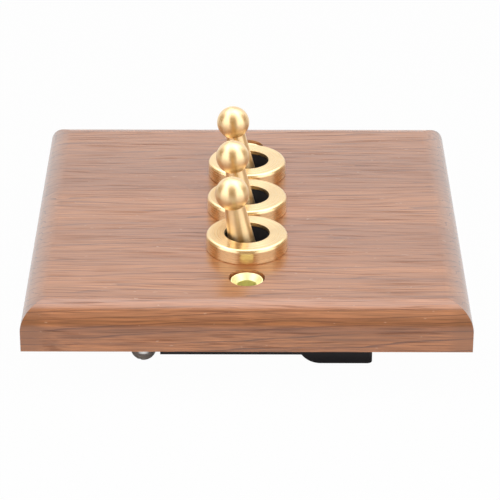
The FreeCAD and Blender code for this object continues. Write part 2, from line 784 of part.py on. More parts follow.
def foot(name):
    """Foot under the front right corner, with a rounded shoulder towards the middle."""
    right = "base_width / 2"
    front = f"-{BASE_LENGTH} / 2"
    back = f"{front} + foot_width"
    crown = f"{right} - foot_length + foot_shoulder"
    block = box(f"{name}_block", crown, right, front, back, FOOT_BOTTOM, "-case_depth")
    outer = number(right)
    lead = number(front)
    block = rounded(
        f"{name}_corner", block, "base_corner_radius",
        lambda edge: edge.BoundBox.XMin > outer - TINY and edge.BoundBox.YMax < lead + TINY)
    radius = "((foot_shoulder ^ 2 + foot_height ^ 2) / (2 * foot_height))"
    roll = cross_cylinder(
        f"{name}_roll", radius, "foot_width", crown, f"({front} + foot_width / 2)",
        f"{FOOT_BOTTOM} + {radius}")
    slab = box(
        f"{name}_slab", f"{crown} - foot_shoulder", crown, front, back,
        FOOT_BOTTOM, "-case_depth")
    return fuse(name, [block, common(f"{name}_shoulder", roll, slab)])


def corner_block(name, run_x, run_y, low, high):
    """A block in the front left corner of the case."""
    left = "-base_width / 2"
    front = f"-{BASE_LENGTH} / 2"
    return box(name, left, f"{left} + {run_x}", front, f"{front} + {run_y}", low, high)


def case_screw_hole(name):
    return cylinder(
        name, "case_screw_radius + case_screw_clearance",
        f"-{CASE_SCREW_X}", f"-{CASE_SCREW_Y}", LEDGE, "0")


def rear_case():
    """Black moulded tray: three cells, nine terminal bays, two feet."""
    half_width = "base_width / 2"
    half_length = f"{BASE_LENGTH} / 2"
    block = box(
        "case_block", f"-{half_width}", half_width, f"-{half_length}", half_length,
        "-case_depth", "0")
    shell = rounded("case_shell", block, "base_corner_radius", is_upright)
    cell_half_length = "(base_width / 2 - case_wall)"
    cells = [
        box(
            f"cell_{gang}", f"-{cell_half_length}", cell_half_length,
            f"{gang_y(gang)} - cell_half_width", f"{gang_y(gang)} + cell_half_width",
            FLOOR, "0")
        for gang in GANGS
    ]
    post_x = "case_screw_inset_x + case_screw_post"
    post_y = "case_screw_inset_y + case_screw_post"
    trim = "base_corner_radius"
    posts = []
    for name in ("front_post", "back_post"):
        post = corner_block(name, post_x, post_y, LEDGE, "0")
        posts.append(rounded(f"{name}_corners", post, trim, is_upright))
    feet = [foot("front_foot"), half_turn("back_foot_turned", [foot("back_foot")])]
    posts[1] = half_turn("back_post_turned", [posts[1]])
    tray = fuse("case_tray", [cut("case_hollow", shell, cells), *posts, *feet])
    holes = [
        corner_block("front_ledge", "ledge_width", "ledge_length", "-case_depth", LEDGE),
        half_turn("back_ledge_turned", [corner_block(
            "back_ledge", "ledge_width", "ledge_length", "-case_depth", LEDGE)]),
        case_screw_hole("front_hole"),
        half_turn("back_hole_turned", [case_screw_hole("back_hole")]),
    ]
    bay_half = "(washer_radius + bay_clearance)"
    for gang in GANGS:
        y = gang_y(gang)
        near = f"{TERMINAL_X} - {bay_half}"
        spans = ((f"-{half_width}", f"-({near})"), (near, half_width))
        for x0, x1 in spans:
            holes.append(box(
                f"side_bay_{gang}", x0, x1, f"{y} - {bay_half}", f"{y} + {bay_half}",
                "-case_depth", FLOOR))
        holes.append(cylinder(
            f"middle_bay_{gang}", bay_half, "common_screw_reach", y, "-case_depth", FLOOR))
        for side in (-1, 1):
            holes.append(cylinder(
                f"peg_hole_{gang}", "rivet_radius + fit_clearance",
                f"{side} * {CONTACT_REACH}", y, f"{FLOOR} - rivet_peg", FLOOR))
    keep("rear_case", cut("case_cut", tray, holes))


def case_screw(name):
    """Domed slotted screw through the front left corner into the walnut."""
    x = f"-{CASE_SCREW_X}"
    y = f"-{CASE_SCREW_Y}"
    dome = "((case_head_radius ^ 2 + case_head_dome ^ 2) / (2 * case_head_dome))"
    blank = cylinder(f"{name}_blank", "case_head_radius", x, y, CROWN, LEDGE)
    ball = sphere(f"{name}_ball", dome, x, y, f"{CROWN} + {dome}")
    rim = cylinder(
        f"{name}_rim", "case_head_radius", x, y, f"{CROWN} + case_head_dome", LEDGE)
    cap = common(f"{name}_cap", blank, fuse(f"{name}_round", [ball, rim]))
    shank = cylinder(
        f"{name}_shank", "case_screw_radius", x, y, LEDGE, "pocket_depth + case_screw_bite")
    slot = box(
        f"{name}_slot", "-case_head_radius", "case_head_radius",
        "-case_slot_width / 2", "case_slot_width / 2", CROWN,
        f"{CROWN} + case_slot_depth")
    turned_slot = place(
        group(f"{name}_slot_turned", [slot]), x, y, axis=Z_AXIS, angle="case_slot_angle")
    return cut(name, fuse(f"{name}_whole", [cap, shank]), [turned_slot])


def case_screws():
    """Two nickel screws at opposite corners that hold case and frame to the plate."""
    pair = [case_screw("front_screw"), half_turn("back_screw_turned", [case_screw("back_screw")])]
    keep("case_screws", group("case_screws", pair))


walnut_plate()
screw_cup("screw_cup_lower", -1)
screw_cup("screw_cup_upper", 1)
switch_frame()
for gang in GANGS:
    bezel_ring(gang)
    dolly(gang)
    actuator(gang)
    pivot_pin(gang)
    plunger(gang)
    plunger_spring(gang)
    rocker_contact(gang)
    rocker_tips(gang)
    common_terminal(gang)
    side_terminal(f"left_terminal_{gang}", gang, -1)
    side_terminal(f"right_terminal_{gang}", gang, 1)
fixed_tips()
terminal_screws()
terminal_washers()
rear_case()
case_screws()
doc.recompute()

for thing in doc.Objects:
    if "Invalid" in thing.State or "Error" in thing.State:
        raise RuntimeError(f"{thing.Label} did not build: {thing.State}")
for piece in pieces:
    if piece.Shape.isNull() or not piece.Shape.isValid():
        raise RuntimeError(f"{piece.Label} has no valid shape")

os.makedirs("parts", exist_ok=True)
for piece in pieces:
    piece.Shape.exportStep(f"parts/{piece.Label}.step")
    print(piece.Label, len(piece.Shape.Solids), round(piece.Shape.Volume, 3))
print("rocker axis height", round(number(ROCKER_AXIS), 5))
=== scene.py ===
import json
import math

import bpy
import numpy as np
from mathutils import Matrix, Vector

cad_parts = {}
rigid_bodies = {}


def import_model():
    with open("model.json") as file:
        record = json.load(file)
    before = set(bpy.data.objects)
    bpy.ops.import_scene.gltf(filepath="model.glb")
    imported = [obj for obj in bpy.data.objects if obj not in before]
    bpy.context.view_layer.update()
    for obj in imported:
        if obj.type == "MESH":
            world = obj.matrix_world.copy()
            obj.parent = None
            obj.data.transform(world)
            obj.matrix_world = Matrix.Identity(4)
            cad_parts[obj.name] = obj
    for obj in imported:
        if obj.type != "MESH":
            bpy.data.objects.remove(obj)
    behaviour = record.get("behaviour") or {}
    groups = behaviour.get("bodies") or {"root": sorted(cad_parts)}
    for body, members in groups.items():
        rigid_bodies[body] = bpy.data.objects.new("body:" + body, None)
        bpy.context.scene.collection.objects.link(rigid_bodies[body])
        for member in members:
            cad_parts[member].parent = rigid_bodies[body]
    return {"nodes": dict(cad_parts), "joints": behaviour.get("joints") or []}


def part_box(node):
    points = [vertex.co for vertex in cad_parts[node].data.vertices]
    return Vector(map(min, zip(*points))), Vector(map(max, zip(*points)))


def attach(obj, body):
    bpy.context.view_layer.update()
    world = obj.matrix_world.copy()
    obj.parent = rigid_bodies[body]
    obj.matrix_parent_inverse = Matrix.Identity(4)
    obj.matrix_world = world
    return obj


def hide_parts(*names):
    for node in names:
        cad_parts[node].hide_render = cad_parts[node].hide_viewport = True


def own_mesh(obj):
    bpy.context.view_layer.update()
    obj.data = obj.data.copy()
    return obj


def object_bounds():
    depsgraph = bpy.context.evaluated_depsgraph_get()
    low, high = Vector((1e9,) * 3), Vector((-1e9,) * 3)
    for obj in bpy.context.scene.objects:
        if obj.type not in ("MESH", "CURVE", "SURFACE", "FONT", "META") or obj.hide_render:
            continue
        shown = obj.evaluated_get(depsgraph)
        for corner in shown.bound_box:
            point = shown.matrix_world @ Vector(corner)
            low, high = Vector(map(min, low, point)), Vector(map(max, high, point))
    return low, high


bl_info = {
    "name": "Brass dolly switch",
    "version": (1, 0, 0),
    "blender": (4, 5, 0),
    "location": "View3D > Sidebar > Switch",
    "description": "Finishes a walnut wall switch with three brass dolly levers",
    "category": "Object",
}

for thing in list(bpy.data.objects):
    bpy.data.objects.remove(thing)
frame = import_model()
cad_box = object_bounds()

MM = 0.001
GANGS = (1, 2, 3)
CUPS = ("lower", "upper")
UV_NAME = "turning"
ROUND_STEPS = 9
RING_SEGMENTS = 160
DOLLY_SEGMENTS = 96
BALL_ROWS = 48
CUP_SEGMENTS = 96
# Row of a dolly's turned grid from which the straight wall of its tail rises.
TAIL_WALL_ROW = ROUND_STEPS - 1
BORE_RINGS = 8
BORE_SIDE_STEPS = 24
COIL_STEPS_PER_TURN = 32
WIRE_SIDES = 12


# Sizes, finishes and stage that a user would change.

def length(name, description, default_mm):
    """A length property, with its default written in millimetres."""
    return bpy.props.FloatProperty(
        name=name, description=description, default=default_mm * MM, min=0.0,
        unit="LENGTH", subtype="DISTANCE", precision=5,
    )


def colour(name, description, default):
    return bpy.props.FloatVectorProperty(
        name=name, description=description, default=default, size=3,
        min=0.0, max=1.0, subtype="COLOR",
    )


def share(name, description, default):
    return bpy.props.FloatProperty(
        name=name, description=description, default=default, min=0.0, max=1.0,
        subtype="FACTOR",
    )


class SwitchSizes(bpy.types.PropertyGroup):
    """Sections of the turned pieces, inside the outer sizes of the frame."""

    ring_bore: length("Ring bore", "Radius inside the ring, below its lip", 6.0)
    ring_hole: length("Ring hole", "Radius of the hole in the ring's lip", 4.5)
    ring_lip: length("Ring lip", "Thickness of the ring's lip", 0.8)
    ring_round: length("Ring round", "Round on the ring's top outer edge", 0.75)
    ring_foot: length("Ring foot", "Round on the ring's lower outer edge", 0.18)
    stem_base: length("Stem base", "Radius of the stem where it seats", 2.9)
    stem_top: length("Stem top", "Radius of the taper at the centre of the ball", 1.78)
    stem_seat: length("Stem seat", "Distance from the pivot to the stem's seat", 3.2)
    tail_radius: length("Tail radius", "Radius of the dolly's tail", 1.8)
    tail_depth: length("Tail depth", "Length of the dolly's tail below the pivot", 1.6)
    pin_bore: length("Pin bore", "Radius of the hole for the pivot pin", 1.05)
    neck_round: length("Neck round", "Tool radius between ball and stem", 0.12)
    cup_bore: length("Cup bore", "Radius of the hole for the wall screw", 1.9)
    cup_tail: length("Cup tail", "Outer radius of the cup's tail", 2.6)
    cup_seat: length("Cup seat", "Height of the cup's shoulder", 4.6)
    cup_rim: length("Cup rim", "Width of the cup's flat rim", 0.25)
    cup_cone: length("Cup cone", "Depth of the cup's countersink", 1.05)
    broken_edge: length("Broken edge", "Radius of an edge broken by polishing", 0.06)
    spring_radius: length("Spring radius", "Outer radius of a plunger spring", 0.95)
    spring_wire: length("Spring wire", "Radius of the spring's wire", 0.17)
    spring_turns: bpy.props.FloatProperty(
        name="Spring turns", description="Turns of a plunger spring", default=5.0, min=1.0)


class SwitchFinishes(bpy.types.PropertyGroup):
    """Colours and gloss of the materials."""

    walnut_pale: colour("Pale walnut", "Early wood between the streaks", (0.51, 0.190, 0.061))
    walnut_dark: colour("Dark walnut", "Late wood in the broad bands", (0.35, 0.123, 0.039))
    # Also the colour of the painted shade in the band along the front round.
    walnut_streak_and_shade: colour("Walnut streaks", "Fine dark lines along the grain", (0.12, 0.036, 0.014))
    walnut_fleck: colour("Walnut flecks", "Small pale flecks in the grain", (0.66, 0.42, 0.28))
    varnish_roughness: share("Varnish roughness", "Blur of reflections in the varnish", 0.24)
    brass: colour("Satin brass", "Brass of rings and dollies", (0.85, 0.64, 0.365))
    ring_roughness: share("Ring roughness", "Blur of reflections in the rings", 0.28)
    dolly_roughness: share("Dolly roughness", "Blur of reflections in the dollies", 0.34)
    cup_brass: colour("Cup brass", "Bright brass of the screw cups", (0.97, 0.94, 0.57))
    moulding: colour("Black moulding", "Black plastic of frame and case", (0.026, 0.026, 0.030))
    nylon: colour("Nylon", "Actuators and plungers", (0.03, 0.03, 0.03))
    nickel: colour("Nickel", "Plated case screws", (0.82, 0.81, 0.79))
    steel: colour("Pin steel", "Drawn steel of pins and springs", (0.55, 0.55, 0.56))
    copper: colour("Contact copper", "Stamped see-saw contacts", (0.80, 0.47, 0.30))
    silver: colour("Contact silver", "Silver contact tips", (0.86, 0.85, 0.82))
    terminal_brass: colour("Terminal brass", "Strips, screws and washers", (0.80, 0.62, 0.30))


class SwitchStage(bpy.types.PropertyGroup):
    """Camera and light."""

    camera_distance: length("Camera distance", "Camera in front of the plate's centre", 453.06)
    camera_height: length("Camera height", "Camera above the plate's back", 231.80)
    camera_pitch: bpy.props.FloatProperty(
        name="Camera pitch", description="Angle that the camera looks down",
        default=math.radians(27.121), subtype="ANGLE")
    camera_roll: bpy.props.FloatProperty(
        name="Camera roll", description="Turn of the camera about its own axis",
        default=math.radians(0.11), subtype="ANGLE")
    camera_lens: bpy.props.FloatProperty(
        name="Lens", description="Focal length in millimetres", default=178.22)
    camera_shift: bpy.props.FloatProperty(
        name="Shift", description="Sideways shift of the picture", default=0.0062)
    ambient: bpy.props.FloatProperty(
        name="Ambient", description="Even light on matt surfaces", default=0.15)
    wall: bpy.props.FloatProperty(
        name="Wall", description="Brightness of the wall behind, in reflections", default=1.14)
    room: bpy.props.FloatProperty(
        name="Room", description="Brightness of the lit room, in reflections", default=2.0)
    dim: colour("Dim room", "Unlit parts of the room, in reflections", (0.46, 0.33, 0.18))
    top_light: bpy.props.FloatProperty(
        name="Top light", description="Brightness of the strip overhead, in reflections", default=3.2)
    front_panel: bpy.props.FloatProperty(
        name="Front panel", description="Power of the panel above the camera", default=2.65)
    left_softbox: bpy.props.FloatProperty(
        name="Left softbox", description="Power of the left softbox", default=0.35)
    right_softbox: bpy.props.FloatProperty(
        name="Right softbox", description="Power of the right softbox", default=0.9)
    shadow: share("Shadow", "How much of the floor takes the shadow", 0.02)


# Reading the frame.

def node_box(node):
    """Lowest and highest corner of a CAD node as arrays."""
    low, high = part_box(node)
    return np.array(low), np.array(high)


def axle_of(node):
    """Centre line (x, y), outer radius, bottom and top of an upright turned node."""
    low, high = node_box(node)
    middle = (low + high) / 2
    return middle[:2], (high[0] - low[0]) / 2, low[2], high[2]


def pivot_of(gang):
    """Place of a lever's pivot."""
    name = f"lever_{gang}_throw"
    joint = next(item for item in frame["joints"] if item["name"] == name)
    return np.array(joint["pos_m"], float)


def lever_of(gang):
    """Pivot, ball radius, reach of the ball and unit axis of a leaning lever.

    The ball is the widest piece of the lever along Y and its highest and leftmost one, so the box
    of the dolly gives its radius and its centre.
    """
    low, high = node_box(f"dolly_{gang}")
    radius = (high[1] - low[1]) / 2
    pivot = pivot_of(gang)
    centre = np.array([low[0] + radius, pivot[1], high[2] - radius])
    reach = np.linalg.norm(centre - pivot)
    return pivot, radius, reach, (centre - pivot) / reach


def spring_ends(node, pivot, axis, sizes):
    """Lower and upper end of a spring along the lever's axis.

    The box of the leaning coil is higher than its length along the axis by the tilt of its round
    ends, so each end is brought in by the coil's radius times the lean.
    """
    low, high = node_box(node)
    tilt = sizes.spring_radius * abs(axis[0])
    return (low[2] - pivot[2] + tilt) / axis[2], (high[2] - pivot[2] - tilt) / axis[2]


# Outlines in the (radius, height) plane.

def slide_between(start, end, turn, steps):
    """Unit vectors that turn evenly from start to end.

    The vector at share s is (sin((1 - s) turn) start + sin(s turn) end) / sin(turn).
    """
    part = np.linspace(0.0, 1.0, steps)[None, :, None]
    turn = turn[:, None, None]
    mixed = np.sin((1 - part) * turn) * start[:, None] + np.sin(part * turn) * end[:, None]
    return mixed / np.sin(turn)


def unit(vectors):
    return vectors / np.linalg.norm(vectors, axis=-1, keepdims=True)


def rounded_outline(corners, radii):
    """Points and outward normals of a closed outline with an arc at each corner.

    With a and b the unit directions from a corner to its neighbours and h half the angle between
    them, the arc's centre lies at radius / sin(h) along a + b, and its points are the centre plus
    the radius times a unit vector that turns by pi - 2 h. The outline runs anticlockwise, so an
    arc whose turn is to the right is hollow and its normals point at its centre.
    """
    corners = np.asarray(corners, float)
    radii = np.asarray(radii, float)
    a = unit(np.roll(corners, 1, axis=0) - corners)
    b = unit(np.roll(corners, -1, axis=0) - corners)
    middle = unit(a + b)
    half = np.arccos(np.clip((a * middle).sum(axis=1), -1.0, 1.0))
    centre = corners + middle * (radii / np.sin(half))[:, None]
    reach = (radii / np.tan(half))[:, None]
    start = unit(corners + a * reach - centre)
    end = unit(corners + b * reach - centre)
    vectors = slide_between(start, end, np.pi - 2 * half, ROUND_STEPS)
    points = centre[:, None] + radii[:, None, None] * vectors
    hollow = np.sign(b[:, 0] * a[:, 1] - b[:, 1] * a[:, 0])
    normals = vectors * hollow[:, None, None]
    return points.reshape(-1, 2), normals.reshape(-1, 2)


def dolly_outline(sizes, ball, reach):
    """Outline of a dolly from the end of its tail to the top of its ball.

    The stem's side is a straight taper with outward normal n at distance c from the ball's centre.
    The neck is an arc of radius f that touches the taper and the ball: its centre q is
    (c + f) n plus sqrt((ball + f)^2 - (c + f)^2) down the taper. The ball is an arc from there to
    the axis.
    """
    edge = sizes.broken_edge
    base = np.array([sizes.stem_base, sizes.stem_seat - reach])
    top = np.array([sizes.stem_top, 0.0])
    down = unit(base - top)
    n = np.array([-down[1], down[0]])
    c = float(n @ top)
    f = sizes.neck_round
    q = (c + f) * n + math.sqrt((ball + f) ** 2 - (c + f) ** 2) * down
    towards_ball = -unit(q)
    turn = np.array([math.acos(float(towards_ball @ -n))])
    neck = slide_between(-n[None], towards_ball[None], turn, ROUND_STEPS)[0]
    lowest = math.atan2(q[0], q[1])
    polar = np.linspace(lowest, 0.0, BALL_ROWS)[1:]
    cap = np.stack([np.sin(polar), np.cos(polar)], axis=1)
    tail_end = -sizes.tail_depth - reach
    corners = [(0.0, tail_end), (sizes.tail_radius, tail_end), (sizes.tail_radius, base[1]),
               tuple(base), tuple(top), (0.0, 0.0)]
    foot, foot_normals = rounded_outline(corners, [edge] * len(corners))
    # The arcs at both ends of the tail and at the rim of the stem's seat.
    kept = slice(ROUND_STEPS, 4 * ROUND_STEPS)
    start = np.array([[0.0, tail_end]])
    points = np.concatenate([start, foot[kept], q + f * neck, ball * cap])
    normals = np.concatenate([[[0.0, -1.0]], foot_normals[kept], -neck, cap])
    return points + [0.0, reach], normals


# Surfaces and meshes.

def spin(outline, normals, segments):
    """Points and normals of an outline turned about Z.

    The point at row i and segment j is (r cos t, r sin t, z) with t = 2 pi j / segments.
    """
    angle = 2 * np.pi * np.arange(segments) / segments
    wheel = np.stack([np.cos(angle), np.sin(angle)], axis=1)

    def turned(pair):
        flat = pair[:, None, :1] * wheel[None]
        height = np.broadcast_to(pair[:, None, 1:], flat.shape[:2] + (1,))
        return np.concatenate([flat, height], axis=2)

    return turned(outline), turned(normals)


def grid_faces(rows, columns, closed_rows):
    """Corner numbers of the quads of a grid whose columns close into a ring."""
    last = rows if closed_rows else rows - 1
    i, j = np.meshgrid(np.arange(last), np.arange(columns), indexing="ij")
    following = (i + 1) % rows
    beside = (j + 1) % columns
    quads = np.stack(
        [i * columns + j, i * columns + beside, following * columns + beside, following * columns + j],
        axis=-1,
    )
    return quads.reshape(-1, 4)


def grid_uv(outline, columns, closed_rows):
    """UV of the same quads: share of a turn, and millimetres along the outline."""
    loop = np.concatenate([outline, outline[:1]]) if closed_rows else outline
    run = np.concatenate([[0.0], np.cumsum(np.linalg.norm(np.diff(loop, axis=0), axis=1))]) / MM
    i, j = np.meshgrid(np.arange(len(run) - 1), np.arange(columns), indexing="ij")
    u = np.stack([j, j + 1, j + 1, j], axis=-1) / columns
    v = np.stack([run[i], run[i], run[i + 1], run[i + 1]], axis=-1)
    return np.stack([u, v], axis=-1).reshape(-1, 2)


def add_piece(name, points, normals, faces, uv, material):
    """Put a surface into a mesh object that stands at the origin."""
    mesh = bpy.data.meshes.new(name)
    mesh.from_pydata(points.tolist(), [], faces)
    layer = mesh.uv_layers.new(name=UV_NAME)
    layer.data.foreach_set("uv", uv.astype(np.float32).ravel())
    mesh.shade_smooth()
    mesh.normals_split_custom_set_from_vertices(normals.tolist())
    mesh.materials.append(material)
    piece = bpy.data.objects.new(name, mesh)
    bpy.context.scene.collection.objects.link(piece)
    return piece


def turned_ring(name, outline, normals, segments, place, material):
    """Lathe-turned piece with a hole: its closed outline turned about an upright axle."""
    points, directions = spin(outline, normals, segments)
    return add_piece(
        name, points.reshape(-1, 3) + place, directions.reshape(-1, 3),
        grid_faces(len(outline), segments, True).tolist(),
        grid_uv(outline, segments, True), material,
    )


def band(rings):
    """Corners of the quads between neighbouring closed rings."""
    beside = np.roll(rings, -1, axis=1)
    return np.stack([rings[1:], beside[1:], beside[:-1], rings[:-1]], axis=2)


def bored_wall(grid, row, bore):
    """Points, normals, faces and UV of a bar's straight wall above a row, with a hole along Y.

    Seen along Y, the wall round the hole lies between a circle of the bore's radius and the wall's
    rectangle. A point (x, z) goes evenly from circle to rectangle, at the angle of the rectangle's
    point, and y = +-sqrt(R^2 - x^2) lays it on the wall. The bore joins the circles of both sides.
    """
    rows, segments = grid.shape[:2]
    half = np.arange(segments // 2 + 1)
    wall, low, high = grid[row, 0, 0], grid[row, 0, 2], grid[row + 1, 0, 2]
    rise = np.linspace(low, high, BORE_SIDE_STEPS + 2)[1:-1]
    ends = np.ones(BORE_SIDE_STEPS)
    across = grid[row, half, 0]
    edge_x = np.concatenate([across, -wall * ends, across[::-1], wall * ends])
    edge_z = np.concatenate([np.full(len(half), low), rise, np.full(len(half), high), rise[::-1]])
    angle = np.arctan2(edge_z, edge_x)
    part = np.linspace(0.0, 1.0, BORE_RINGS + 1)[:, None]
    x = (1 - part) * bore * np.cos(angle) + part * edge_x
    z = (1 - part) * bore * np.sin(angle) + part * edge_z
    y = np.sqrt(np.maximum(wall ** 2 - x ** 2, 0.0))
    right = rows * segments + 2 + np.arange(BORE_SIDE_STEPS)
    left = right + BORE_SIDE_STEPS
    points = [np.stack([side * wall * ends, 0 * ends, rise], axis=-1) for side in (1, -1)]
    normals = [np.stack([side * ends, 0 * ends, 0 * ends], axis=-1) for side in (1, -1)]
    inward = np.stack([-np.cos(angle), 0 * angle, -np.sin(angle)], axis=-1)
    turn = np.arccos(np.clip(x / wall, -1.0, 1.0)) / (2 * np.pi)
    faces, uv, circles = [], [], []
    for side, columns in ((1, half), (-1, -half % segments)):
        start = left[-1] + 1 + len(circles) * x[:-1].size
        inner = start + np.arange(x[:-1].size).reshape(BORE_RINGS, -1)
        outer = np.concatenate([
            row * segments + columns, left, ((row + 1) * segments + columns)[::-1], right[::-1]])
        corners = band(np.concatenate([inner, outer[None]])).reshape(-1, 4)
        places = band(np.stack([turn if side > 0 else 1 - turn, z / MM], axis=-1)).reshape(-1, 4, 2)
        faces.append(corners[:, ::side])
        uv.append(places[:, ::side])
        outward = np.stack([x / wall, side * y / wall, 0 * x], axis=-1)
        outward[0] = unit(outward[0] + inward)
        points.append(np.stack([x, side * y, z], axis=-1)[:-1].reshape(-1, 3))
        normals.append(outward[:-1].reshape(-1, 3))
        circles.append(inner[0])
    faces.append(band(np.stack(circles[::-1])).reshape(-1, 4))
    ring_uv = [np.stack([angle / (2 * np.pi), side * y[0] / MM], axis=-1) for side in (-1, 1)]
    uv.append(band(np.stack(ring_uv)).reshape(-1, 4, 2))
    return (np.concatenate(points), np.concatenate(normals), np.concatenate(faces),
            np.concatenate(uv).reshape(-1, 2))


def turned_bar(name, outline, normals, segments, move, material, bore):
    """Lathe-turned solid bar: an outline from the lower to the upper end of the axis.

    The first and last points lie on the axis and become one vertex each, with a fan of triangles.
    The wall of its tail has a hole along Y, of the bore's radius.
    """
    points, directions = spin(outline[1:-1], normals[1:-1], segments)
    wall_points, wall_normals, wall_faces, wall_uv = bored_wall(points, TAIL_WALL_ROW, bore)
    rows = len(outline) - 2
    kept = np.repeat(np.arange(rows - 1) != TAIL_WALL_ROW, segments)
    poles = np.array([[0.0, 0.0, outline[0, 1]], [0.0, 0.0, outline[-1, 1]]])
    ends = np.array([[0.0, 0.0, -1.0], [0.0, 0.0, 1.0]])
    points = np.concatenate([points.reshape(-1, 3), poles, wall_points])
    directions = np.concatenate([directions.reshape(-1, 3), ends, wall_normals])
    bottom, top = rows * segments, rows * segments + 1
    j = np.arange(segments)
    beside = (j + 1) % segments
    upper_row = (rows - 1) * segments
    lower_fan = np.stack([np.full(segments, bottom), beside, j], axis=-1)
    upper_fan = np.stack([np.full(segments, top), upper_row + j, upper_row + beside], axis=-1)
    faces = grid_faces(rows, segments, False)[kept].tolist()
    faces += lower_fan.tolist() + upper_fan.tolist() + wall_faces.tolist()
    fan_u = np.stack([(j + 0.5), j + 1, j], axis=-1) / segments
    fan_uv = np.stack([fan_u, np.zeros_like(fan_u)], axis=-1).reshape(-1, 2)
    grid_places = grid_uv(outline[1:-1], segments, False).reshape(-1, 4, 2)[kept].reshape(-1, 2)
    uv = np.concatenate([grid_places, fan_uv, fan_uv, wall_uv])
    turn, shift = move
    return add_piece(name, points @ turn.T + shift, directions @ turn.T, faces, uv, material)


def wire_coil(mean_radius, wire, turns, low, high):
    """Points, normals, faces and UV of a round wire wound on a cylinder, with flat round ends.

    The wire's centre is (R cos t, R sin t, z) with z rising evenly. Each section is a circle in the
    plane of the outward direction and of the direction square to it and to the wire.
    """
    steps = round(turns * COIL_STEPS_PER_TURN) + 1
    angle = np.linspace(0.0, 2 * np.pi * turns, steps)
    rise = np.linspace(low + wire, high - wire, steps)
    outward = np.stack([np.cos(angle), np.sin(angle), np.zeros(steps)], axis=1)
    centre = outward * mean_radius
    centre[:, 2] = rise
    along = unit(np.gradient(centre, axis=0))
    upward = np.cross(along, outward)
    around = 2 * np.pi * np.arange(WIRE_SIDES) / WIRE_SIDES
    normals = (
        outward[:, None] * np.cos(around)[None, :, None]
        + upward[:, None] * np.sin(around)[None, :, None]
    )
    points = centre[:, None] + wire * normals
    faces = grid_faces(steps, WIRE_SIDES, False).tolist()
    first = list(range(WIRE_SIDES))
    last = [(steps - 1) * WIRE_SIDES + side for side in range(WIRE_SIDES)]
    faces += [first[::-1], last]
    line = np.stack([np.zeros(steps), np.linspace(0.0, 1.0, steps)], axis=1)
    uv = np.concatenate([grid_uv(line, WIRE_SIDES, False), np.zeros((2 * WIRE_SIDES, 2))])
    return points.reshape(-1, 3), normals.reshape(-1, 3), faces, uv


def lean_matrix(axis):
    """Turn about Y that carries +Z to a unit axis in the XZ plane."""
    return np.array([[axis[2], 0.0, axis[0]], [0.0, 1.0, 0.0], [-axis[0], 0.0, axis[2]]])


# Materials. Scales of noises are per millimetre.

def new_material(name):
    material = bpy.data.materials.new(name)
    material.use_nodes = True
    return material, material.node_tree, material.node_tree.nodes["Principled BSDF"]


def add_node(tree, kind, inputs=None, **settings):
    """A node with its settings, and its inputs set to values or linked to sockets."""
    made = tree.nodes.new(kind)
    for key, value in settings.items():
        setattr(made, key, value)
    for key, value in (inputs or {}).items():
        if isinstance(value, bpy.types.NodeSocket):
            tree.links.new(value, made.inputs[key])
        else:
            made.inputs[key].default_value = value
    return made


def opaque(rgb):
    return (rgb[0], rgb[1], rgb[2], 1.0)


def grey(level):
    return (level, level, level, 1.0)


def object_mm(tree, scale=(1.0, 1.0, 1.0)):
    """Object coordinates in millimetres, stretched."""
    coordinates = add_node(tree, "ShaderNodeTexCoord")
    mapping = add_node(tree, "ShaderNodeMapping", {
        "Vector": coordinates.outputs["Object"], "Scale": [item / MM for item in scale]})
    return mapping.outputs["Vector"]


def noise(tree, vector, detail=3.0, roughness=0.5):
    made = add_node(tree, "ShaderNodeTexNoise", {
        "Vector": vector, "Scale": 1.0, "Detail": detail, "Roughness": roughness})
    return made.outputs["Fac"]


def remap(tree, value, low, high, to_low=0.0, to_high=1.0):
    made = add_node(tree, "ShaderNodeMapRange", {
        "Value": value, "From Min": low, "From Max": high, "To Min": to_low, "To Max": to_high,
    }, interpolation_type="SMOOTHSTEP")
    return made.outputs["Result"]


def math_node(tree, operation, first, second=0.0):
    return add_node(tree, "ShaderNodeMath", {0: first, 1: second}, operation=operation).outputs[0]


def times(tree, first, second):
    return math_node(tree, "MULTIPLY", first, second)


def mix_colour(tree, factor, first, second, blend="MIX"):
    made = add_node(tree, "ShaderNodeMix", {0: factor, 6: first, 7: second},
                    data_type="RGBA", blend_type=blend)
    return made.outputs[2]


def add_bump(tree, shader, height, depth_mm, strength):
    bump = add_node(tree, "ShaderNodeBump", {
        "Height": height, "Distance": depth_mm * MM, "Strength": strength})
    tree.links.new(bump.outputs["Normal"], shader.inputs["Normal"])


def as_grey(tree, value):
    """A value as a grey colour."""
    return add_node(tree, "ShaderNodeCombineColor", {0: value, 1: value, 2: value}).outputs["Color"]


# Noises of the wood: scale along the grain, scale across it, shift, detail and roughness.
GRAIN = {
    "bands": (0.006, 0.16, 0.0, 3.0, 0.55),
    "ribbons": (0.016, 0.62, 7.0, 4.0, 0.6),
    "lines": (0.016, 1.5, 3.0, 3.0, 0.6),
    "vein_and_shade": (0.03, 1.1, 31.0, 2.0, 0.5),
    "wander": (0.010, 0.30, 41.0, 2.0, 0.5),
    "pores": (0.08, 3.3, 5.0, 2.0, 0.5),
    "fibres": (0.10, 6.0, 11.0, 3.0, 0.6),
    "flecks": (0.55, 1.9, 23.0, 1.0, 0.4),
    "figure": (0.08, 2.4, 17.0, 3.0, 0.6),
}
# Levels of these noises between which a mark grows from its faintest to its fullest.
MARKS = {
    "bands": (0.34, 0.68),
    "ribbons": (0.36, 0.70),
    "lines": (0.50, 0.74),
    "vein_and_shade": (0.30, 0.60),
    "pores": (0.47, 0.74),
    "fibres": (0.25, 0.75),
    "flecks": (0.74, 0.80),
    "figure": (0.3, 0.7),
}
SWAY_SCALE = (0.010, 0.05, 0.05)
SWAY_MM = 9.0
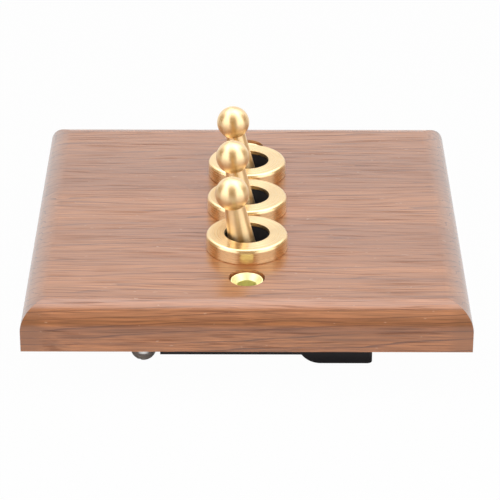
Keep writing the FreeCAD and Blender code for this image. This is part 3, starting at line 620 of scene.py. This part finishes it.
# Heights and places on the plate, in millimetres, between which its figure changes.
# The band along the front round is partly a vein of the wood and partly painted shade.
VEIN_SHADE_FOOT = (2.2, 5.6)
VEIN_SHADE_HEAD = (6.7, 7.4)
VEIN_SHADE_FRONT = (-41.5, -40.5)
EDGE_HEIGHT = (7.6, 9.0)
END_GRAIN = (37.6, 40.6)
YEAR_DIRECTION = (-0.027, 0.45, 0.50)
YEAR_WANDER = 2.0
YEAR_LINE = (0.83, 0.98)
# Strength of each mark; a pair is on the worked edge and on the face, or at its faintest and fullest.
YEAR_SHARE = (0.80, 0.55)
FIGURE_SHARE = (0.22, 0.10)
VEIN_SHADE_SHARE = (0.3, 0.85)
RIBBON_SHARE = 0.45
LINE_AND_SHADE_SHARE = 0.5
FIBRE_SHARE = 0.16
PORE_SHARE = 0.62
FLECK_SHARE = 0.35
END_CALM = 0.22
END_TONE = 0.82
# Roughness of the wood and weight of the varnish, beside the pores and in them.
WOOD_ROUGHNESS = (0.40, 0.60)
VARNISH_WEIGHT = (1.0, 0.45)
VARNISH_IOR = 1.65
FIBRE_RELIEF = 0.5


def varnished_walnut(finish):
    """Walnut with its grain along X under a satin varnish.

    Bands, ribbons, lines, pores and fibres are noises stretched along X, all bent sideways by one
    slow noise. A year line lies where the fraction of d . p plus a slow wander nears 1, with d the
    direction across the years. A dark band runs along the front round; it is partly a vein of the
    wood and partly painted shade, where the round reflects the dim room. Figure and year lines are
    stronger on the worked edges. On the two ends the varnish fills the cut pores, so there the fine
    marks and the relief fade, and the wood is darker. The varnish is thin where it sinks into the
    pores.
    """
    material, tree, shader = new_material("varnished_walnut")
    slow = noise(tree, object_mm(tree, SWAY_SCALE), detail=2.0)
    sway = times(tree, math_node(tree, "SUBTRACT", slow, 0.5), SWAY_MM)
    split = add_node(tree, "ShaderNodeSeparateXYZ", {"Vector": object_mm(tree)}).outputs
    x, y, height = split["X"], split["Y"], split["Z"]
    bent = add_node(tree, "ShaderNodeCombineXYZ", {
        "X": x, "Y": math_node(tree, "ADD", y, sway), "Z": height}).outputs["Vector"]

    def grain(name):
        """A noise stretched along the grain."""
        along, across, shift, detail, roughness = GRAIN[name]
        made = add_node(tree, "ShaderNodeMapping", {
            "Vector": bent, "Scale": (along, across, across), "Location": (shift, shift, shift)})
        return noise(tree, made.outputs["Vector"], detail, roughness)

    def mark(name, faintest=0.0, fullest=1.0):
        """How far a mark of the grain shows."""
        return remap(tree, grain(name), *MARKS[name], faintest, fullest)

    def towards(wood, amount, strength, rgb):
        """Wood mixed with a colour as far as a mark shows."""
        return mix_colour(tree, times(tree, amount, strength), wood, opaque(rgb))

    aside = math_node(tree, "ABSOLUTE", x)
    calm = remap(tree, aside, *END_GRAIN, 1.0, END_CALM)
    # Dark band along the front round: partly a vein, partly painted shade where the round reflects the
    # dim room.
    vein_and_shade = mark("vein_and_shade", *VEIN_SHADE_SHARE)
    for limit in (remap(tree, height, *VEIN_SHADE_FOOT), remap(tree, height, *VEIN_SHADE_HEAD, 1.0, 0.0),
                  remap(tree, y, *VEIN_SHADE_FRONT, 1.0, 0.0)):
        vein_and_shade = times(tree, vein_and_shade, limit)
    lines_and_painted_shade = math_node(tree, "MAXIMUM", times(tree, mark("lines"), calm), vein_and_shade)
    depth = add_node(
        tree, "ShaderNodeVectorMath", {0: bent, 1: YEAR_DIRECTION}, operation="DOT_PRODUCT")
    years = math_node(
        tree, "ADD", depth.outputs["Value"], times(tree, grain("wander"), YEAR_WANDER))
    year_lines = remap(tree, math_node(tree, "FRACT", years), *YEAR_LINE)
    year_lines = times(tree, year_lines, remap(tree, height, *EDGE_HEIGHT, *YEAR_SHARE))
    pores = times(tree, mark("pores"), calm)
    fibres = grain("fibres")
    figure = times(
        tree, mark("figure", -1.0, 1.0), remap(tree, height, *EDGE_HEIGHT, *FIGURE_SHARE))
    lift = remap(tree, fibres, *MARKS["fibres"], -FIBRE_SHARE, FIBRE_SHARE)
    lift = times(tree, math_node(tree, "ADD", lift, figure), calm)
    lift = math_node(tree, "ADD", lift, remap(tree, aside, *END_GRAIN, 1.0, END_TONE))

    wood = mix_colour(tree, mark("bands"), opaque(finish.walnut_pale), opaque(finish.walnut_dark))
    wood = towards(wood, mark("ribbons"), RIBBON_SHARE, finish.walnut_dark)
    wood = towards(wood, lines_and_painted_shade, LINE_AND_SHADE_SHARE, finish.walnut_streak_and_shade)
    wood = mix_colour(tree, year_lines, wood, opaque(finish.walnut_streak_and_shade))
    wood = mix_colour(tree, 1.0, wood, as_grey(tree, lift), "MULTIPLY")
    wood = towards(wood, pores, PORE_SHARE, finish.walnut_streak_and_shade)
    wood = towards(wood, mark("flecks"), FLECK_SHARE, finish.walnut_fleck)
    tree.links.new(wood, shader.inputs["Base Color"])
    tree.links.new(remap(tree, pores, 0.0, 1.0, *WOOD_ROUGHNESS), shader.inputs["Roughness"])
    tree.links.new(remap(tree, pores, 0.0, 1.0, *VARNISH_WEIGHT), shader.inputs["Coat Weight"])
    shader.inputs["Coat Roughness"].default_value = finish.varnish_roughness
    shader.inputs["Coat IOR"].default_value = VARNISH_IOR
    relief = math_node(tree, "SUBTRACT", times(tree, fibres, FIBRE_RELIEF), pores)
    add_bump(tree, shader, times(tree, relief, calm), depth_mm=0.012, strength=0.5)
    return material


# Levels that most of a noise lies between, and those between which a stain or flow mark grows.
NOISE_SPAN = (0.3, 0.7)
STAIN_SPAN = (0.35, 0.7)
FLOW_SPAN = (0.35, 0.68)
FLOW_SCALE = (0.08, 0.16, 0.16)
FLOW_TONE = 0.82
TURNED_CLOUD_SCALE = (0.35, 0.35, 0.35)
WORKED_CLOUD_SCALE = (0.5, 0.5, 0.5)
GRAIN_STRETCH = 0.15
GROOVE_MM = 0.09
MARKS_PER_TURN = 3.0
CLOUD_SHADE = (-0.03, 0.03)
GROOVE_SHADE = (0.96, 1.04)
ANISOTROPY = 0.85
# Quarter turn that lays the blur of reflections across the grooves.
ACROSS_GROOVES = 0.25


def vary_roughness(tree, shader, texture, roughness, low, high):
    """Roughness that goes with a noise, from a low to a high share of its middle value."""
    varied = remap(tree, texture, *NOISE_SPAN, roughness * low, roughness * high)
    tree.links.new(varied, shader.inputs["Roughness"])


def turned_metal(name, tint, roughness, groove_mm, anisotropy):
    """Lathe-turned metal: fine grooves round the axis, read from the piece's UV map.

    U is the share of a turn and V the millimetres along the outline, so a noise that is fine in V
    and slow in U gives tool marks that run round the piece. Reflections blur across the grooves.
    """
    material, tree, shader = new_material(name)
    uv = add_node(tree, "ShaderNodeUVMap", uv_map=UV_NAME)
    marks = add_node(tree, "ShaderNodeMapping", {
        "Vector": uv.outputs["UV"], "Scale": (MARKS_PER_TURN, 1.0 / groove_mm, 1.0)})
    grooves = noise(tree, marks.outputs["Vector"], detail=2.0, roughness=0.6)
    cloud = noise(tree, object_mm(tree, TURNED_CLOUD_SCALE))
    shade = math_node(
        tree, "ADD", remap(tree, cloud, *NOISE_SPAN, *CLOUD_SHADE),
        remap(tree, grooves, *NOISE_SPAN, *GROOVE_SHADE))
    tree.links.new(
        mix_colour(tree, 1.0, opaque(tint), as_grey(tree, shade), "MULTIPLY"),
        shader.inputs["Base Color"])
    shader.inputs["Metallic"].default_value = 1.0
    vary_roughness(tree, shader, grooves, roughness, 0.85, 1.15)
    shader.inputs["Anisotropic"].default_value = anisotropy
    shader.inputs["Anisotropic Rotation"].default_value = ACROSS_GROOVES
    tangent = add_node(tree, "ShaderNodeTangent", direction_type="UV_MAP", uv_map=UV_NAME)
    tree.links.new(tangent.outputs["Tangent"], shader.inputs["Tangent"])
    add_bump(tree, shader, grooves, depth_mm=0.0012, strength=0.1)
    return material


def worked_metal(name, tint, roughness, grain_mm, stain):
    """Stamped, drawn or plated metal: a fine grain in gloss and relief, and a slow change of tint."""
    material, tree, shader = new_material(name)
    fine = 1.0 / grain_mm
    grain = noise(tree, object_mm(tree, (fine * GRAIN_STRETCH, fine, fine)), detail=2.0)
    cloud = noise(tree, object_mm(tree, WORKED_CLOUD_SCALE))
    worn = [item * (1.0 - stain) for item in tint]
    tree.links.new(
        mix_colour(tree, remap(tree, cloud, *STAIN_SPAN), opaque(tint), opaque(worn)),
        shader.inputs["Base Color"])
    shader.inputs["Metallic"].default_value = 1.0
    vary_roughness(tree, shader, grain, roughness, 0.8, 1.25)
    add_bump(tree, shader, grain, depth_mm=0.002, strength=0.5)
    return material


def moulded_plastic(name, tint, roughness, gloss, texture_mm, relief_mm):
    """Moulded plastic: a spark-eroded texture in relief and gloss, and slight flow marks."""
    material, tree, shader = new_material(name)
    fine = 1.0 / texture_mm
    texture = noise(tree, object_mm(tree, (fine, fine, fine)), detail=2.0)
    flow = noise(tree, object_mm(tree, FLOW_SCALE))
    deep = [item * FLOW_TONE for item in tint]
    tree.links.new(
        mix_colour(tree, remap(tree, flow, *FLOW_SPAN), opaque(tint), opaque(deep)),
        shader.inputs["Base Color"])
    vary_roughness(tree, shader, texture, roughness, 0.9, 1.15)
    shader.inputs["Specular IOR Level"].default_value = gloss
    add_bump(tree, shader, texture, relief_mm, strength=0.6)
    return material


def dress(material, *nodes):
    """Give CAD nodes a material in place of their plain one."""
    for node in nodes:
        for holder in frame["nodes"][node].material_slots:
            holder.material = material


def like_nodes(*names):
    """The nodes of all gangs for these names."""
    return [f"{name}_{gang}" for name in names for gang in GANGS]


# Stage.

FRONT_PANEL_PLACE = (0.0, -0.36, 0.41)
FRONT_PANEL_SIZE = (0.6, 0.4)
SOFTBOX_DISTANCE = 0.55
SOFTBOX_HEIGHT = 0.50
SOFTBOX_SIZE = (0.28, 0.60)
LEFT_AZIMUTH = -54.0
RIGHT_AZIMUTH = 41.0
FLOOR_SIZE = 6.0
FLOOR_GREY = 0.60
FLOOR_ROUGHNESS = 0.9
CLIP_START = 0.01
# Distances from the middle of the floor, in metres, between which its light changes.
UNDER_TERMINALS = (0.019, 0.0225)
BESIDE_CASE = (0.0266, 0.0304)
UNDER_PLATE = (0.035, 0.051)
# Painted light on the floor: its glow under the plate, and a painted contact shadow round the case's
# edge in reflections.
PAINTED_UNDER_GLOW = 0.35
PAINTED_CONTACT_SHADOW = 0.02
# Sideways and backward parts of a unit direction between which the studio's light changes.
DIM_WIDTH = (0.30, 0.55)
DIM_EDGE = (-0.25, 0.05)
WALL_WIDTH = (0.50, 0.80)
WALL_EDGE = (0.45, 0.80)
TOP_NEAR = (-0.28, -0.08)
TOP_FAR = (0.50, 0.75)


def rays(tree, *kinds):
    """1 for rays of these kinds, 0 for others."""
    path = add_node(tree, "ShaderNodeLightPath")
    seen = path.outputs[kinds[0]]
    for kind in kinds[1:]:
        seen = math_node(tree, "MAXIMUM", seen, path.outputs[kind])
    return seen


def white_world(scene, stage):
    """White to the eye, an even light on matt surfaces, and a studio for reflections.

    The studio is lit at the front left and front right and by a strip overhead, and has a white wall
    behind the switch. It is dim behind the camera, and at both sides from the middle to the back.
    """
    scene.world = bpy.data.worlds.new("white_studio")
    scene.world.use_nodes = True
    tree = scene.world.node_tree
    direction = add_node(tree, "ShaderNodeTexCoord").outputs["Generated"]
    parts = add_node(tree, "ShaderNodeSeparateXYZ", {"Vector": direction}).outputs
    back = parts["Y"]
    aside = math_node(tree, "ABSOLUTE", parts["X"])
    middle = remap(tree, aside, *WALL_WIDTH, 1.0, 0.0)
    front = times(
        tree, remap(tree, back, *DIM_EDGE, 1.0, 0.0), remap(tree, aside, *DIM_WIDTH, 1.0, 0.0))
    sides = times(tree, remap(tree, back, *DIM_EDGE), remap(tree, aside, *WALL_WIDTH))
    wall = times(tree, remap(tree, back, *WALL_EDGE), middle)
    overhead = times(tree, remap(tree, back, *TOP_NEAR), remap(tree, back, *TOP_FAR, 1.0, 0.0))
    overhead = times(tree, overhead, middle)
    dim = math_node(tree, "MAXIMUM", front, sides)
    studio = mix_colour(tree, dim, grey(stage.room), opaque(stage.dim))
    studio = mix_colour(tree, wall, studio, grey(stage.wall))
    studio = mix_colour(tree, overhead, studio, grey(stage.top_light))
    light = mix_colour(tree, rays(tree, "Is Glossy Ray"), grey(stage.ambient), studio)
    eye = rays(tree, "Is Camera Ray", "Is Transmission Ray")
    light = mix_colour(tree, eye, light, grey(1.0))
    tree.links.new(light, tree.nodes["Background"].inputs["Color"])


def from_centre(tree):
    """Distance from the middle of the floor, in squares like the plate."""
    place = add_node(tree, "ShaderNodeNewGeometry").outputs["Position"]
    parts = add_node(tree, "ShaderNodeSeparateXYZ", {"Vector": place}).outputs
    return math_node(
        tree, "MAXIMUM", math_node(tree, "ABSOLUTE", parts["X"]),
        math_node(tree, "ABSOLUTE", parts["Y"]))


def white_floor(shadow):
    """Floor under the switch: white to the eye apart from a share that takes the shadow.

    Under the plate it glows for matt surfaces with a share of the light that a white floor scatters
    there, a painted fill light. In reflections its glow is dim under the terminals, nearly black
    under the edge of the case, which is a painted contact shadow, and white beside the case. Its
    underside is clear, so that the switch can be looked at from below.
    """
    half = FLOOR_SIZE / 2
    level = float(cad_box[0][2])
    corners = [(-half, -half, level), (half, -half, level), (half, half, level), (-half, half, level)]
    mesh = bpy.data.meshes.new("floor")
    mesh.from_pydata(corners, [], [(0, 1, 2, 3)])
    floor = bpy.data.objects.new("floor", mesh)
    bpy.context.scene.collection.objects.link(floor)
    material, tree, shader = new_material("white_floor")
    shader.inputs["Base Color"].default_value = grey(FLOOR_GREY)
    shader.inputs["Roughness"].default_value = FLOOR_ROUGHNESS
    shader.inputs["Specular IOR Level"].default_value = 0.0
    glow = add_node(tree, "ShaderNodeEmission", {"Strength": 1.0})
    away = from_centre(tree)
    # Painted reflection: dim glow under the terminals, a painted contact shadow at the case's edge,
    # white beside it.
    painted_reflected_glow = math_node(
        tree, "MAXIMUM", remap(tree, away, *UNDER_TERMINALS, PAINTED_UNDER_GLOW, PAINTED_CONTACT_SHADOW),
        remap(tree, away, *BESIDE_CASE))
    reflected = times(tree, rays(tree, "Is Glossy Ray"), painted_reflected_glow)
    # Painted fill light: under the plate the floor glows for matt surfaces.
    painted_fill_glow = times(
        tree, rays(tree, "Is Diffuse Ray"), remap(tree, away, *UNDER_PLATE, PAINTED_UNDER_GLOW, 0.0))
    seen = math_node(
        tree, "MAXIMUM", rays(tree, "Is Camera Ray", "Is Transmission Ray"),
        math_node(tree, "MAXIMUM", reflected, painted_fill_glow))
    lit = add_node(tree, "ShaderNodeMixShader", {
        0: times(tree, seen, 1.0 - shadow), 1: shader.outputs["BSDF"], 2: glow.outputs["Emission"]})
    clear = add_node(tree, "ShaderNodeBsdfTransparent")
    side = add_node(tree, "ShaderNodeNewGeometry")
    both = add_node(tree, "ShaderNodeMixShader", {
        0: side.outputs["Backfacing"], 1: lit.outputs["Shader"], 2: clear.outputs["BSDF"]})
    tree.links.new(both.outputs["Shader"], tree.nodes["Material Output"].inputs["Surface"])
    mesh.materials.append(material)


def panel(name, place, turn, size, power):
    """A rectangular soft light on matt surfaces, seen neither directly nor in reflections."""
    light = bpy.data.lights.new(name, "AREA")
    light.shape = "RECTANGLE"
    light.size, light.size_y = size
    light.energy = power
    lamp = bpy.data.objects.new(name, light)
    lamp.location = place
    lamp.rotation_euler = turn
    lamp.visible_camera = False
    lamp.visible_glossy = False
    bpy.context.scene.collection.objects.link(lamp)


def front_panel(power):
    """A wide light above the camera that faces the switch."""
    lean = math.atan2(-FRONT_PANEL_PLACE[1], FRONT_PANEL_PLACE[2])
    panel("front_panel", FRONT_PANEL_PLACE, (lean, 0.0, 0.0), FRONT_PANEL_SIZE, power)


def softbox(name, azimuth, power):
    """A tall light that faces the switch, at an azimuth from the camera, positive to the right."""
    angle = math.radians(azimuth)
    place = (SOFTBOX_DISTANCE * math.sin(angle), -SOFTBOX_DISTANCE * math.cos(angle), SOFTBOX_HEIGHT)
    lean = math.atan2(SOFTBOX_HEIGHT, SOFTBOX_DISTANCE)
    panel(name, place, (math.pi / 2 - lean, 0.0, angle), SOFTBOX_SIZE, power)


def add_camera(scene, stage):
    data = bpy.data.cameras.new("camera")
    data.lens = stage.camera_lens
    data.shift_x = stage.camera_shift
    data.clip_start = CLIP_START
    camera = bpy.data.objects.new("camera", data)
    camera.location = (0.0, -stage.camera_distance, stage.camera_height)
    camera.rotation_mode = "ZYX"
    camera.rotation_euler = (math.pi / 2 - stage.camera_pitch, 0.0, stage.camera_roll)
    scene.collection.objects.link(camera)
    scene.camera = camera


# Operators.

class SWITCH_OT_plate(bpy.types.Operator):
    """Varnish the walnut plate"""

    bl_idname = "dolly_switch.plate"
    bl_label = "Walnut plate"

    def execute(self, context):
        dress(varnished_walnut(context.scene.switch_finishes), "walnut_plate")
        return {"FINISHED"}


class SWITCH_OT_rings(bpy.types.Operator):
    """Turn the three bezel rings in satin brass"""

    bl_idname = "dolly_switch.rings"
    bl_label = "Bezel rings"

    def execute(self, context):
        sizes = context.scene.switch_sizes
        finish = context.scene.switch_finishes
        material = turned_metal(
            "ring_brass_turned", finish.brass, finish.ring_roughness, GROOVE_MM, ANISOTROPY)
        for gang in GANGS:
            node = f"bezel_ring_{gang}"
            centre, radius, low, high = axle_of(node)
            tall = high - low
            lip = tall - sizes.ring_lip
            edge = sizes.broken_edge
            outline, normals = rounded_outline(
                [(sizes.ring_bore, 0.0), (radius, 0.0), (radius, tall), (sizes.ring_hole, tall),
                 (sizes.ring_hole, lip), (sizes.ring_bore, lip)],
                [edge, sizes.ring_foot, sizes.ring_round, edge, edge, edge],
            )
            place = np.array([centre[0], centre[1], low])
            ring = turned_ring(f"turned_ring_{gang}", outline, normals, RING_SEGMENTS, place, material)
            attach(ring, "root")
            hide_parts(node)
        return {"FINISHED"}


class SWITCH_OT_dollies(bpy.types.Operator):
    """Turn the three dolly levers in satin brass"""

    bl_idname = "dolly_switch.dollies"
    bl_label = "Dolly levers"

    def execute(self, context):
        sizes = context.scene.switch_sizes
        finish = context.scene.switch_finishes
        material = turned_metal(
            "dolly_brass_turned", finish.brass, finish.dolly_roughness, GROOVE_MM, ANISOTROPY)
        for gang in GANGS:
            pivot, ball, reach, axis = lever_of(gang)
            outline, normals = dolly_outline(sizes, ball, reach)
            move = (lean_matrix(axis), pivot)
            dolly = turned_bar(
                f"turned_dolly_{gang}", outline, normals, DOLLY_SEGMENTS, move, material,
                sizes.pin_bore)
            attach(dolly, f"lever_{gang}")
            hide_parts(f"dolly_{gang}")
        return {"FINISHED"}


class SWITCH_OT_cups(bpy.types.Operator):
    """Turn the two screw cups in bright brass"""

    bl_idname = "dolly_switch.cups"
    bl_label = "Screw cups"

    def execute(self, context):
        sizes = context.scene.switch_sizes
        material = turned_metal(
            "bright_cup_brass", context.scene.switch_finishes.cup_brass,
            roughness=0.50, groove_mm=0.14, anisotropy=0.0)
        edge = sizes.broken_edge
        for cup in CUPS:
            node = f"screw_cup_{cup}"
            centre, radius, low, high = axle_of(node)
            rim = high - low
            corners = [(sizes.cup_bore, 0.0), (sizes.cup_tail, 0.0), (sizes.cup_tail, sizes.cup_seat),
                       (radius, sizes.cup_seat), (radius, rim), (radius - sizes.cup_rim, rim),
                       (sizes.cup_bore, rim - sizes.cup_cone)]
            outline, normals = rounded_outline(corners, [edge] * len(corners))
            place = np.array([centre[0], centre[1], low])
            piece = turned_ring(f"turned_cup_{cup}", outline, normals, CUP_SEGMENTS, place, material)
            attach(piece, "root")
            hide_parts(node)
        return {"FINISHED"}


class SWITCH_OT_springs(bpy.types.Operator):
    """Wind the three plunger springs in round wire"""

    bl_idname = "dolly_switch.springs"
    bl_label = "Plunger springs"

    def execute(self, context):
        sizes = context.scene.switch_sizes
        material = worked_metal(
            "spring_steel", context.scene.switch_finishes.steel,
            roughness=0.28, grain_mm=0.2, stain=0.15)
        mean = sizes.spring_radius - sizes.spring_wire
        for gang in GANGS:
            node = f"plunger_spring_{gang}"
            pivot, *_, axis = lever_of(gang)
            low, high = spring_ends(node, pivot, axis, sizes)
            points, normals, faces, uv = wire_coil(
                mean, sizes.spring_wire, sizes.spring_turns, low, high)
            turn = lean_matrix(axis)
            spring = add_piece(
                f"wound_spring_{gang}", points @ turn.T + pivot, normals @ turn.T, faces, uv, material)
            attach(spring, f"lever_{gang}")
            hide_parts(node)
            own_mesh(spring)
        return {"FINISHED"}


class SWITCH_OT_mouldings(bpy.types.Operator):
    """Finish the black frame and case, and the black nylon gear"""

    bl_idname = "dolly_switch.mouldings"
    bl_label = "Mouldings"

    def execute(self, context):
        finish = context.scene.switch_finishes
        black = moulded_plastic(
            "black_moulding", finish.moulding,
            roughness=0.40, gloss=0.25, texture_mm=0.22, relief_mm=0.006)
        nylon = moulded_plastic(
            "black_nylon", finish.nylon,
            roughness=0.42, gloss=0.5, texture_mm=0.5, relief_mm=0.004)
        dress(black, "switch_frame", "rear_case")
        dress(nylon, *like_nodes("actuator", "plunger"))
        return {"FINISHED"}


class SWITCH_OT_metalwork(bpy.types.Operator):
    """Finish pins, contacts, terminals and screws"""

    bl_idname = "dolly_switch.metalwork"
    bl_label = "Metalwork"

    def execute(self, context):
        finish = context.scene.switch_finishes
        terminals = like_nodes("common_terminal", "left_terminal", "right_terminal")
        metals = (
            ("drawn_pin_steel", finish.steel, 0.25, 0.15, 0.12, like_nodes("pivot_pin")),
            ("contact_copper", finish.copper, 0.30, 0.25, 0.25, like_nodes("rocker_contact")),
            ("contact_silver", finish.silver, 0.35, 0.2, 0.2,
             ["fixed_tips", *like_nodes("rocker_tips")]),
            ("terminal_brass", finish.terminal_brass, 0.30, 0.25, 0.2,
             ["terminal_screws", "terminal_washers", *terminals]),
            ("nickel_plate", finish.nickel, 0.05, 0.3, 0.1, ["case_screws"]),
        )
        for name, tint, roughness, grain_mm, stain, nodes in metals:
            dress(worked_metal(name, tint, roughness, grain_mm, stain), *nodes)
        return {"FINISHED"}


class SWITCH_OT_stage(bpy.types.Operator):
    """Set the floor, the lights and the camera"""

    bl_idname = "dolly_switch.stage"
    bl_label = "Stage"

    def execute(self, context):
        stage = context.scene.switch_stage
        context.scene.view_settings.view_transform = "Standard"
        white_world(context.scene, stage)
        white_floor(stage.shadow)
        front_panel(stage.front_panel)
        softbox("left_softbox", LEFT_AZIMUTH, stage.left_softbox)
        softbox("right_softbox", RIGHT_AZIMUTH, stage.right_softbox)
        add_camera(context.scene, stage)
        return {"FINISHED"}


class SWITCH_PT_maker(bpy.types.Panel):
    """Lists the pieces of the switch"""

    bl_label = "Brass dolly switch"
    bl_idname = "SWITCH_PT_maker"
    bl_space_type = "VIEW_3D"
    bl_region_type = "UI"
    bl_category = "Switch"

    def draw(self, context):
        for operator in OPERATORS:
            self.layout.operator(operator.bl_idname)


OPERATORS = (
    SWITCH_OT_plate,
    SWITCH_OT_rings,
    SWITCH_OT_dollies,
    SWITCH_OT_cups,
    SWITCH_OT_springs,
    SWITCH_OT_mouldings,
    SWITCH_OT_metalwork,
    SWITCH_OT_stage,
)
GROUPS = (
    ("switch_sizes", SwitchSizes),
    ("switch_finishes", SwitchFinishes),
    ("switch_stage", SwitchStage),
)


def register():
    for name, group in GROUPS:
        bpy.utils.register_class(group)
        setattr(bpy.types.Scene, name, bpy.props.PointerProperty(type=group))
    for item in OPERATORS + (SWITCH_PT_maker,):
        bpy.utils.register_class(item)


def unregister():
    for item in (SWITCH_PT_maker,) + OPERATORS[::-1]:
        bpy.utils.unregister_class(item)
    for name, group in GROUPS[::-1]:
        delattr(bpy.types.Scene, name)
        bpy.utils.unregister_class(group)


def main():
    register()
    for operator in OPERATORS:
        family, name = operator.bl_idname.split(".")
        getattr(getattr(bpy.ops, family), name)()


if __name__ == "__main__":
    main()
